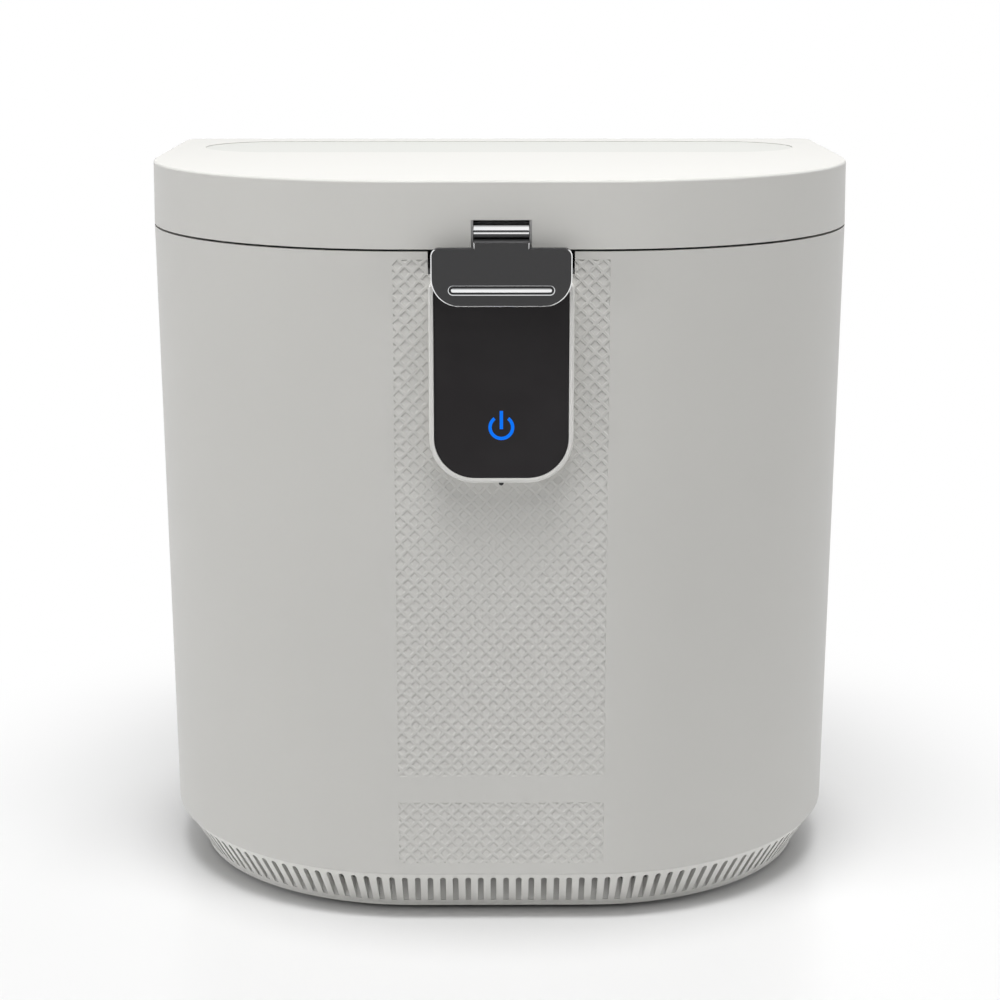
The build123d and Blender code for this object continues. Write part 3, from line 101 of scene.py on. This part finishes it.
class Finish:
    """One material, built from expressions."""

    def __init__(self, name, **sockets):
        self.material = bpy.data.materials.new(name)
        self.material.use_nodes = True
        self.tree = self.material.node_tree
        self.shader = self.tree.nodes["Principled BSDF"]
        self.output = self.tree.nodes["Material Output"]
        self.face = Shade(self, self.shader.outputs[0])
        self.place = self.node("ShaderNodeTexCoord", output="Object")
        self.set(**sockets)

    def node(self, kind, settings=None, inputs=None, output=0):
        """Adds a node: its settings first, then the values or links of its sockets."""
        made = self.tree.nodes.new(kind)
        for key, value in (settings or {}).items():
            setattr(made, key, value)
        for key, value in (inputs or {}).items():
            self.feed(made.inputs[key], value)
        return Shade(self, made.outputs[output])

    def feed(self, socket, value):
        if isinstance(value, Shade):
            self.tree.links.new(value.socket, socket)
        elif isinstance(value, tuple) and len(value) == 3 and socket.type == "RGBA":
            socket.default_value = (*value, 1)
        else:
            socket.default_value = value

    def set(self, **sockets):
        for key, value in sockets.items():
            self.feed(self.shader.inputs[key.replace("_", " ")], value)

    def noise(self, scale, detail=2.0, rough=0.5, place=None):
        inputs = {"Vector": place or self.place, "Scale": scale, "Detail": detail}
        return self.node("ShaderNodeTexNoise", None, inputs | {"Roughness": rough})

    def stretched(self, x, y, z):
        """The object's own coordinates, stretched along each axis."""
        return self.node("ShaderNodeMapping", None, {"Vector": self.place, "Scale": (x, y, z)})

    def axis(self, name):
        return self.node("ShaderNodeSeparateXYZ", None, {0: self.place}, output=name)

    def length(self, place):
        settings = {"operation": "LENGTH"}
        return self.node("ShaderNodeVectorMath", settings, {0: place}, output="Value")

    def blend(self, low, high, factor):
        """A colour between two colours. The node's sockets are numbered, as their names repeat."""
        settings = {"data_type": "RGBA"}
        return self.node("ShaderNodeMix", settings, {0: factor, 6: low, 7: high}, output=2)

    def mix(self, low, high, factor):
        """A shader between two shaders."""
        return self.node("ShaderNodeMixShader", None, {0: factor, 1: low, 2: high})

    def bump(self, height, strength, distance=0.0002):
        inputs = {"Height": height, "Strength": strength, "Distance": distance}
        self.set(Normal=self.node("ShaderNodeBump", None, inputs))


def moulded(name, color, roughness=0.45, grain=0.12, dust=0.02):
    """Spark-eroded plastic: fine grain, faint flow marks."""
    finish = Finish(name)
    cloud = finish.noise(9, 3)
    fine = finish.noise(2600, 1)
    darker = tuple(value * (1 - dust) for value in color)
    finish.set(Base_Color=finish.blend(darker, color, cloud.within(0.35, 0.65)))
    finish.set(Roughness=roughness + (fine - 0.5) * 0.10 + (cloud - 0.5) * 0.06)
    finish.bump(fine, grain, 0.00005)
    return finish


def machined(name, color, roughness=0.3, stretch=(1, 1, 30), scale=180, strength=0.12):
    """Bare metal with drawn or turned marks along one direction."""
    finish = Finish(name, Metallic=1.0)
    marks = finish.noise(scale, 3, 0.6, finish.stretched(*stretch))
    stain = finish.noise(22, 3)
    darker = tuple(value * 0.86 for value in color)
    finish.set(Base_Color=finish.blend(darker, color, stain.within(0.3, 0.7)))
    finish.set(Roughness=roughness + (marks - 0.5) * 0.22 + (stain - 0.5) * 0.10)
    finish.bump(marks, strength, 0.00005)
    return finish


# Where painted shade darkens the ring's slot walls: the heights of the slots and the lean of their
# walls.
slot_low = (3.4 * MM, 6.0 * MM)
slot_high = (20.5 * MM, 21.5 * MM)
slot_lean = (-0.35, -0.15)


def ring_finish():
    """The vent ring's plastic: its sloping face is lighter than the housing's as painted light,
    and painted shade darkens the walls of its slots.
    """
    # Lighter than the housing's plastic: painted light making up for the shade on the
    # downward-leaning face.
    color = (0.690, 0.684, 0.656)
    # A darker colour painted on the slot walls as shade.
    slot_shade_color = (0.60, 0.595, 0.575)
    dust = 0.015
    ring = moulded("ring_plastic", color, 0.46, 0.10, dust)
    facing = ring.node("ShaderNodeNewGeometry", output="Normal")
    upright = ring.node("ShaderNodeSeparateXYZ", None, {0: facing}, output="Z").within(*slot_lean)
    height = ring.axis("Z")
    slot_shade_band = height.within(*slot_low) * (1 - height.within(*slot_high))
    cloud = ring.noise(9, 3).within(0.35, 0.65)
    face = ring.blend(tuple(value * (1 - dust) for value in color), color, cloud)
    # Painted shade: the slot walls take the darker colour.
    ring.set(Base_Color=ring.blend(face, slot_shade_color, upright * slot_shade_band))
    return ring


def polished(name):
    """Plated metal with a faint haze, which the caller's roughness follows."""
    finish = Finish(name, Metallic=1.0)
    haze = finish.noise(60, 3)
    bright = finish.blend((0.86, 0.87, 0.88), (0.91, 0.91, 0.91), haze.within(0.3, 0.7))
    finish.set(Base_Color=bright)
    return finish, haze


def make_finishes():
    made = {}
    made["housing"] = moulded("housing_plastic", (0.600, 0.594, 0.570), 0.42, 0.10, 0.012)
    made["ring"] = ring_finish()
    made["frame"] = moulded("frame_plastic", (0.720, 0.713, 0.690), 0.34, 0.08, 0.010)
    made["inset"] = moulded("inset_plastic", (0.560, 0.563, 0.538), 0.50, 0.10, 0.015)
    made["inner_grey"] = moulded("inner_plastic", (0.230, 0.235, 0.240), 0.50, 0.20, 0.05)
    made["inner_dark"] = moulded("dark_plastic", (0.020, 0.020, 0.022), 0.50, 0.25, 0.10)
    made["bush"] = moulded("bush_plastic", (0.610, 0.580, 0.480), 0.40, 0.10, 0.05)

    latch = Finish("latch_enamel", Metallic=0.2, Coat_Weight=0.12, Coat_Roughness=0.10)
    flake = latch.noise(3200, 2)
    sparkle = flake.within(0.3, 0.7)
    latch.set(Base_Color=latch.blend((0.018, 0.018, 0.019), (0.030, 0.029, 0.030), sparkle))
    latch.set(Roughness=0.34 + (flake - 0.5) * 0.12)
    latch.bump(flake, 0.06, 0.00003)
    made["latch"] = latch

    chrome, haze = polished("bright_chrome")
    chrome.set(Roughness=0.07 + haze.within(0.45, 0.8) * 0.06)
    made["chrome"] = chrome

    # Bright metal for the latch's edges: a painted highlight.
    edge_highlight, haze = polished("edge_highlight_metal")
    edge_highlight.set(Roughness=0.16 + haze * 0.06)
    made["edge_highlight"] = edge_highlight

    panel = Finish("panel_gloss", Specular_IOR_Level=0.12)
    film = panel.noise(30, 2)
    streak = film.within(0.3, 0.7)
    panel.set(Base_Color=panel.blend((0.020, 0.018, 0.019), (0.024, 0.022, 0.023), streak))
    panel.set(Roughness=0.16 + film * 0.05)
    made["panel"] = panel

    icon = Finish("symbol_light", Specular_IOR_Level=0.06, Emission_Strength=0.85)
    spread = icon.noise(400, 1)
    icon.set(Base_Color=(0.002, 0.02, 0.10), Roughness=0.3)
    icon.set(Emission_Color=icon.blend((0.0, 0.180, 1.0), (0.001, 0.205, 1.0), spread))
    made["icon"] = icon

    made["steel"] = machined("drawn_steel", (0.56, 0.56, 0.55), 0.30, (30, 1, 1), 160)
    made["turned"] = machined("turned_steel", (0.50, 0.50, 0.49), 0.26, (1, 1, 40), 200)
    made["cast"] = machined("cast_aluminium", (0.50, 0.50, 0.50), 0.48, (1, 1, 1), 700, 0.35)
    made["sheet"] = machined("heater_aluminium", (0.60, 0.60, 0.60), 0.34, (1, 25, 1), 140)
    made["brass"] = machined("contact_brass", (0.60, 0.42, 0.16), 0.28, (1, 20, 1), 200)

    coat = Finish("bucket_coating", Metallic=0.2)
    pebble = coat.noise(900, 2)
    fleck = coat.noise(420, 1).within(0.70, 0.74)
    coat.set(Base_Color=coat.blend((0.030, 0.030, 0.033), (0.20, 0.20, 0.20), fleck))
    coat.set(Roughness=0.34 + (pebble - 0.5) * 0.25)
    coat.bump(pebble, 0.25, 0.0001)
    made["bucket"] = coat

    rubber = Finish("seal_rubber")
    bloom = rubber.noise(35, 4).within(0.35, 0.7)
    pores = rubber.noise(1500, 2)
    rubber.set(Base_Color=rubber.blend((0.014, 0.014, 0.015), (0.036, 0.035, 0.035), bloom))
    rubber.set(Roughness=0.72 + (pores - 0.5) * 0.2)
    rubber.bump(pores, 0.3, 0.0001)
    made["rubber"] = rubber

    wool = Finish("insulation_wool", Roughness=0.95)
    strands = wool.noise(240, 5, 0.7, wool.stretched(1, 1, 0.25))
    tuft = strands.within(0.3, 0.7)
    wool.set(Base_Color=wool.blend((0.42, 0.40, 0.34), (0.70, 0.68, 0.60), tuft))
    wool.bump(strands, 0.9, 0.001)
    made["wool"] = wool

    carbon = Finish("carbon_grains", Roughness=0.85)
    cells = carbon.node("ShaderNodeTexVoronoi", None, {"Vector": carbon.place, "Scale": 420.0})
    grain = cells.within(0.1, 0.8)
    carbon.set(Base_Color=carbon.blend((0.006, 0.006, 0.006), (0.05, 0.05, 0.05), grain))
    carbon.bump(cells, 0.9, 0.0008)
    made["carbon"] = carbon

    board = Finish("board_resin", Coat_Weight=0.3)
    weave = board.noise(900, 1)
    trace = board.node("ShaderNodeTexBrick", {"offset": 0.5}, {
        "Vector": board.place, "Scale": 90.0, "Mortar Size": 0.06, "Mortar Smooth": 0.2,
        "Color1": (0.010, 0.075, 0.030), "Color2": (0.012, 0.085, 0.034),
        "Mortar": (0.03, 0.16, 0.07),
    })
    board.set(Base_Color=trace, Roughness=0.35 + (weave - 0.5) * 0.1)
    made["board"] = board

    guide = Finish("clear_guide", Transmission_Weight=0.85, IOR=1.49)
    swirl = guide.noise(120, 2)
    guide.set(Base_Color=guide.blend((0.86, 0.88, 0.90), (0.93, 0.94, 0.95), swirl))
    guide.set(Roughness=0.08 + swirl * 0.06)
    made["guide"] = guide
    return made


finishes = make_finishes()

node_finishes = {
    "housing": "outer_shell lid_shell",
    "frame": "control_bezel",
    "ring": "vent_ring",
    "inset": "lid_inset",
    "latch": "latch_plate latch_claw",
    "chrome": "latch_knuckle latch_bar",
    "panel": "control_panel",
    "icon": "power_icon",
    "inner_grey": "top_deck fan_case air_duct filter_bay lid_liner filter_drawer drawer_pull",
    "inner_dark": "base_plate bail_grip motor_case fan_motor inlet_socket reed_switch fan_impeller "
                  "board_parts",
    "bush": "bucket_bush",
    "steel": "support_plate latch_keeper keeper_screws body_hinges lid_hinges bucket_well "
             "lid_screws lid_magnet latch_spring",
    "turned": "hinge_pins latch_pin bucket_bail cutter_bars output_bearings idler_pin paddle_shaft "
              "coupling_upper coupling_lower output_shaft output_gear idler_gear motor_pinion",
    "cast": "gearbox_tray gearbox_cover latch_bracket grinding_paddle",
    "sheet": "heater_plate",
    "brass": "inlet_blades board_standoffs",
    "bucket": "bucket",
    "rubber": "feet drawer_seal lid_gasket",
    "wool": "well_insulation",
    "carbon": "carbon_block",
    "board": "power_board control_board",
    "guide": "light_guide",
}
for finish_name, names in node_finishes.items():
    for name in names.split():
        for slot in nodes[name].material_slots:
            slot.material = finishes[finish_name].material


# ---- Piece making -------------------------------------------------------------------------------
def finished(name, bm, finish, body, smooth=True):
    """Turns a bmesh into a piece that rides on a body."""
    mesh = bpy.data.meshes.new(name)
    bm.to_mesh(mesh)
    bm.free()
    mesh.materials.append(finishes[finish].material)
    if smooth:
        mesh.shade_smooth()
    piece = bpy.data.objects.new(name, mesh)
    bpy.context.scene.collection.objects.link(piece)
    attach(piece, body)
    return piece


def shell_front(x, z):
    """The y of the shell's outer surface at a place on its front."""
    inset = front_slope * (shell_top_z - z)
    aside = max(abs(x) - half_flat, 0)
    radius = corner_radius - inset
    return front_y + inset + radius - sqrt(radius * radius - aside * aside)


# ---- Diamond pockets ----------------------------------------------------------------------------
pocket_pitch = 6.5 * MM
pocket_rib = 1.15 * MM
pocket_wall = 0.20 * MM
pocket_depth = 0.36 * MM
pocket_shift = -0.5 * MM
# The share of its depth that a pocket has at its lowest corner, and what it gains over its height.
pocket_foot = 0.10
pocket_lean = 1.1
smallest_pocket = (pocket_pitch / 3) ** 2
band_half = 7.5 * pocket_pitch
upper_field = (72.3 * MM, shell_top_z - 2.9 * MM)
lower_field = (28.5 * MM, 60.3 * MM)
cutout_half = 32.5 * MM
cutout_z = shell_top_z - 10.2 * MM
hidden_rise = 12 * MM
hidden_side = 4 * MM
weep_radius = 1.1 * MM
weep_drop = 1.4 * MM
weep_lift = 0.02 * MM


def turn_mesh(bm, angle, axis):
    """Turns a mesh about an axis through the origin, in degrees."""
    matrix = Matrix.Rotation(radians(angle), 3, axis)
    bmesh.ops.rotate(bm, cent=(0, 0, 0), matrix=matrix, verts=bm.verts)


def slice_mesh(bm, geometry, place, normal, clear):
    """Cuts along a plane. With clear, what lies beyond the plane goes."""
    bmesh.ops.bisect_plane(
        bm, geom=geometry, dist=1e-7, plane_co=place, plane_no=normal, clear_outer=clear
    )


def pocket_field(low, high, anchor):
    """A field of square pockets set on edge, with a row of their corners at the anchor height."""
    bm = bmesh.new()
    side = pocket_pitch / sqrt(2)
    reach = int((band_half + (high - low)) / side) + 4
    reach += reach % 2
    bmesh.ops.create_grid(bm, x_segments=reach, y_segments=reach, size=reach * side / 2)
    turn_mesh(bm, 45, "Z")
    turn_mesh(bm, 90, "X")
    rows = round(((low + high) / 2 - anchor) / pocket_pitch)
    height = anchor + (rows + 0.5) * pocket_pitch
    bmesh.ops.translate(bm, vec=(pocket_shift, 0, height), verts=bm.verts)
    for place, normal in (
        ((band_half, 0, 0), (1, 0, 0)),
        ((-band_half, 0, 0), (-1, 0, 0)),
        ((0, 0, high), (0, 0, 1)),
        ((0, 0, low), (0, 0, -1)),
    ):
        slice_mesh(bm, bm.verts[:] + bm.edges[:] + bm.faces[:], place, normal, True)
    cells = [face for face in bm.faces if face.calc_area() >= smallest_pocket]
    for width in (pocket_rib / 2, pocket_wall):
        bmesh.ops.inset_individual(
            bm, faces=cells, thickness=width, depth=0, use_even_offset=True
        )
    for cell in cells:
        heights = [vert.co.z for vert in cell.verts]
        base, top = min(heights), max(heights)
        for vert in cell.verts:
            share = (vert.co.z - base) / (top - base)
            vert.co.y += pocket_depth * min(1, pocket_foot + pocket_lean * share)
    return bm


def faces_above(bm, height, half):
    """The faces whose middle lies above a height and within a half width."""
    chosen = []
    for face in bm.faces:
        centre = face.calc_center_median()
        if centre.z > height and abs(centre.x) < half:
            chosen.append(face)
    return chosen


def face_front(bm):
    """Flips every face if together they look backwards."""
    if sum(face.normal.y for face in bm.faces) > 0:
        bmesh.ops.reverse_faces(bm, faces=bm.faces)


def clear_cutout(bm):
    """Cuts the shell's cut-out from the field, across the faces near it."""
    for place, normal in (
        ((0, 0, cutout_z), (0, 0, 1)),
        ((cutout_half, 0, 0), (1, 0, 0)),
        ((-cutout_half, 0, 0), (1, 0, 0)),
    ):
        near = faces_above(bm, cutout_z - pocket_pitch, cutout_half + pocket_pitch)
        geometry = list({part for face in near for part in (*face.verts, *face.edges, face)})
        slice_mesh(bm, geometry, place, normal, False)
    bmesh.ops.delete(bm, geom=faces_above(bm, cutout_z, cutout_half), context="FACES")


def make_pockets(name, low, high, anchor):
    """One field of pockets, laid over the shell's front."""
    bm = pocket_field(low, high, anchor)
    if high > bezel_high.z:
        clear_cutout(bm)
        behind = faces_above(bm, bezel_low.z + hidden_rise, bezel_high.x - hidden_side)
        bmesh.ops.delete(bm, geom=behind, context="FACES")
    for vert in bm.verts:
        vert.co.y += shell_front(vert.co.x, vert.co.z)
    bmesh.ops.recalc_face_normals(bm, faces=bm.faces)
    face_front(bm)
    finished(name, bm, "housing", "housing", smooth=False)


def make_weep_hole_shade():
    """A black disc over the mouth of the shell's weep hole, which the pockets' sheet would close:
    painted shade for the dark inside of the hole.
    """
    bm = bmesh.new()
    bmesh.ops.create_circle(bm, cap_ends=True, segments=32, radius=weep_radius)
    turn_mesh(bm, 90, "X")
    height = bezel_low.z - weep_drop
    place = (0, shell_front(0, height) - weep_lift, height)
    bmesh.ops.translate(bm, vec=place, verts=bm.verts)
    face_front(bm)
    # Painted shade: the disc is black where the hole would be in shade.
    finished("weep_hole_shade", bm, "inner_dark", "housing", smooth=False)


make_pockets("pockets_upper", *upper_field, upper_field[0])
make_pockets("pockets_lower", *lower_field, lower_field[1])
make_weep_hole_shade()


# ---- Painted highlight on the latch's edges -----------------------------------------------------
rim_lift = 0.02 * MM
rim_depth = 0.8 * MM
rim_slant = (-0.9, -0.3)
bare_drop = 3 * MM
bare_slope = 0.55


def make_latch_edge_highlight():
    """Bright metal over the plate's slanted front edges, shaded as if rounded, bare at the top:
    a painted highlight along the edges.
    """
    bm = bmesh.new()
    bm.from_mesh(nodes["latch_plate"].data)
    bmesh.ops.remove_doubles(bm, verts=bm.verts, dist=1e-6)
    bm.normal_update()
    front = latch_low.y + rim_depth
    top = latch_high.z - bare_drop
    others = []
    for face in bm.faces:
        centre = face.calc_center_median()
        slanted = rim_slant[0] < face.normal.y < rim_slant[1] and centre.y < front
        if not slanted or (face.normal.z > bare_slope and centre.z > top):
            others.append(face)
    bmesh.ops.delete(bm, geom=others, context="FACES_ONLY")
    bmesh.ops.delete(bm, geom=[edge for edge in bm.edges if not edge.link_faces], context="EDGES")
    bm.verts.index_update()
    rounded = [vert.normal.copy() for vert in bm.verts]
    bm.normal_update()
    shifts = [(vert, vert.normal * rim_lift) for vert in bm.verts]
    for vert, shift in shifts:
        vert.co += shift
    # The painted highlight rides on the latch.
    rim = finished("latch_edge_highlight", bm, "edge_highlight", "latch")
    rim.data.normals_split_custom_set_from_vertices(rounded)


# ---- Grooved face of the knuckle ----------------------------------------------------------------
groove_depth = 0.32 * MM
groove_turn = radians(-9)
groove_half = radians(12)
knuckle_steps = 96


def draw_out(bm, edges, shift):
    """Extrudes edges into walls, all by the same shift."""
    made = bmesh.ops.extrude_edge_only(bm, edges=edges)["geom"]
    moved = [part for part in made if isinstance(part, bmesh.types.BMVert)]
    bmesh.ops.translate(bm, vec=shift, verts=moved)
    bmesh.ops.recalc_face_normals(bm, faces=bm.faces)


def make_knuckle():
    """The chrome barrel with a shallow rolled groove along its front."""
    bm = bmesh.new()
    radius = (knuckle_high.z - knuckle_low.z) / 2
    middle = (knuckle_low + knuckle_high) / 2
    bmesh.ops.create_circle(bm, segments=knuckle_steps, radius=radius)
    turn_mesh(bm, 90, "Y")
    for vert in bm.verts:
        away = atan2(vert.co.z, -vert.co.y) - groove_turn
        vert.co *= 1 - groove_depth / radius * exp(-((away / groove_half) ** 2))
    bmesh.ops.translate(bm, vec=(knuckle_low.x, middle.y, middle.z), verts=bm.verts)
    draw_out(bm, bm.edges[:], (knuckle_high.x - knuckle_low.x, 0, 0))
    barrel = finished("knuckle_barrel", bm, "chrome", "latch")
    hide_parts("latch_knuckle")


# ---- Painted shade in the latch's notch ---------------------------------------------------------
notch_half = 13.4 * MM
notch_top_z = lid_low.z + 12.9 * MM
shade_gap = 0.03 * MM
shade_inset = 0.5 * MM
shade_depth = 2.4 * MM
shade_rise = 0.4 * MM


def make_notch_shade():
    """Black plates on the sides and the roof of the notch, as deep as the lid's wall:
    painted shade for the dark inside the notch.
    """
    bm = bmesh.new()
    half = notch_half - shade_gap
    low, high = lid_low.z + shade_rise, notch_top_z - shade_gap
    path = [(-half, low), (-half, high), (half, high), (half, low)]
    verts = [bm.verts.new((x, front_y + shade_inset, z)) for x, z in path]
    edges = [bm.edges.new(pair) for pair in zip(verts, verts[1:])]
    draw_out(bm, edges, (0, shade_depth, 0))
    # Painted shade: black plates where the notch is in shade.
    finished("notch_shade", bm, "inner_dark", "lid", smooth=False)


# ---- Camera, floor and light --------------------------------------------------------------------
# The camera's angles are in degrees, and its lens is in millimetres.
camera_place = (-5.6 * MM, front_y - 968 * MM, 439.2 * MM)
camera_dip = 13.53
camera_turn = -0.297
camera_lens = 79.2

ambient_level = 0.10
ceiling_level = 0.55
ceiling_rise = (0.62, 0.80)

floor_half = 6
floor_tone = 0.56
floor_lift = 0.24
bounce_level = 0.80
# The floor glows for the camera outside an oval round the foot: painted light, left off near the
# foot so the floor there stays darker. Farther out it turns plain white, at white_reach as the
# camera sees it and at mirror_reach in reflections.
foot_scale = (1 / (132 * MM), 1 / (112 * MM), 0)
lift_reach = (0.94, 1.55)
paper_scale = (1.25, 1.0, 0)
paper_shift = (0, 0.10, 0)
white_reach = (0.22, 0.52)
mirror_reach = (0.10, 0.16)
white = (1, 1, 1, 1)


def placed(name, data, place, turn=(0, 0, 0)):
    """An object for a camera, a lamp or the floor."""
    holder = bpy.data.objects.new(name, data)
    bpy.context.scene.collection.objects.link(holder)
    holder.location = place
    holder.rotation_euler = turn
    return holder


def make_camera():
    camera = bpy.data.cameras.new("photo_camera")
    camera.lens = camera_lens
    camera.sensor_width = 36
    camera.clip_end = 50
    turn = (radians(90 - camera_dip), 0, radians(camera_turn))
    bpy.context.scene.camera = placed("photo_camera", camera, camera_place, turn)


def make_floor():
    """White paper: it takes shadow near the object and runs out to plain white."""
    bm = bmesh.new()
    bmesh.ops.create_grid(bm, x_segments=2, y_segments=2, size=floor_half)
    mesh = bpy.data.meshes.new("floor")
    bm.to_mesh(mesh)
    bm.free()
    finish = Finish("floor_white", Roughness=0.3, Specular_IOR_Level=0.35)
    seen = finish.node("ShaderNodeLightPath", output="Is Camera Ray")
    mirrored = finish.node("ShaderNodeLightPath", output="Is Glossy Ray")
    finish.set(Base_Color=finish.blend((bounce_level,) * 3, (floor_tone,) * 3, seen))
    lift = finish.node("ShaderNodeEmission", None, {"Color": white, "Strength": floor_lift})
    lifted = finish.node("ShaderNodeAddShader", None, {0: finish.face, 1: lift})
    aside = finish.length(finish.stretched(*foot_scale))
    near = finish.mix(finish.face, lifted, seen * aside.within(*lift_reach))
    shift = {0: finish.stretched(*paper_scale), 1: paper_shift}
    away = finish.length(finish.node("ShaderNodeVectorMath", {"operation": "ADD"}, shift))
    shown = seen * away.within(*white_reach) + mirrored * away.within(*mirror_reach)
    plain = finish.node("ShaderNodeEmission", None, {"Color": white, "Strength": 1.0})
    finish.feed(finish.output.inputs["Surface"], finish.mix(near, plain, shown))
    mesh.materials.append(finish.material)
    placed("floor", mesh, (0, 0, 0))


def make_lamp(name, place, target, size, power):
    """A soft rectangle aimed at a place. It isn't seen in reflections."""
    lamp = bpy.data.lights.new(name, "AREA")
    lamp.shape = "RECTANGLE"
    lamp.size, lamp.size_y = size
    lamp.energy = power
    aim = (Vector(target) - Vector(place)).to_track_quat("-Z", "Y").to_euler()
    placed(name, lamp, place, aim).visible_glossy = False


def make_world():
    """Soft even light, seen as plain white, with a dimmer ceiling in reflections."""
    world = bpy.data.worlds.new("studio")
    bpy.context.scene.world = world
    world.use_nodes = True
    tree = world.node_tree

    def backdrop(strength):
        made = tree.nodes.new("ShaderNodeBackground")
        made.inputs["Color"].default_value = white
        made.inputs["Strength"].default_value = strength
        return made.outputs[0]

    def mixed(low, high, factor):
        made = tree.nodes.new("ShaderNodeMixShader")
        for key, value in enumerate((factor, low, high)):
            tree.links.new(value, made.inputs[key])
        return made.outputs[0]

    path = tree.nodes.new("ShaderNodeLightPath")
    clear = tree.nodes.new("ShaderNodeMath")
    clear.operation = "MAXIMUM"
    tree.links.new(path.outputs["Is Camera Ray"], clear.inputs[0])
    tree.links.new(path.outputs["Is Transmission Ray"], clear.inputs[1])
    place = tree.nodes.new("ShaderNodeTexCoord")
    parts = tree.nodes.new("ShaderNodeSeparateXYZ")
    tree.links.new(place.outputs["Generated"], parts.inputs[0])
    height = tree.nodes.new("ShaderNodeMapRange")
    height.interpolation_type = "SMOOTHSTEP"
    height.inputs["From Min"].default_value, height.inputs["From Max"].default_value = ceiling_rise
    tree.links.new(parts.outputs["Z"], height.inputs["Value"])
    reflected = mixed(backdrop(1.0), backdrop(ceiling_level), height.outputs[0])
    shown = mixed(backdrop(ambient_level), reflected, path.outputs["Is Glossy Ray"])
    shown = mixed(shown, backdrop(1.0), clear.outputs[0])
    tree.links.new(shown, tree.nodes["World Output"].inputs["Surface"])
    tree.nodes.remove(tree.nodes["Background"])


make_latch_edge_highlight()
make_knuckle()
make_notch_shade()
make_camera()
make_floor()
make_world()
make_lamp("forward_softbox", (0, -0.55, 1.55), (0, -0.05, 0.25), (1.1, 0.6), 9)
make_lamp("overhead_strip", (0, -0.36, 1.75), (0, -0.12, 0.2), (0.9, 0.3), 21)
make_lamp("left_strip", (-1.45, -0.60, 0.45), (0, -0.12, 0.20), (0.25, 0.6), 6.3)
make_lamp("right_strip", (1.45, -0.62, 0.45), (0, -0.12, 0.20), (0.25, 0.6), 3.4)
make_lamp("back_fill", (0.60, 1.70, 0.80), (0, 0, 0.2), (0.6, 1.0), 8)

bpy.context.scene.view_settings.view_transform = "Standard"
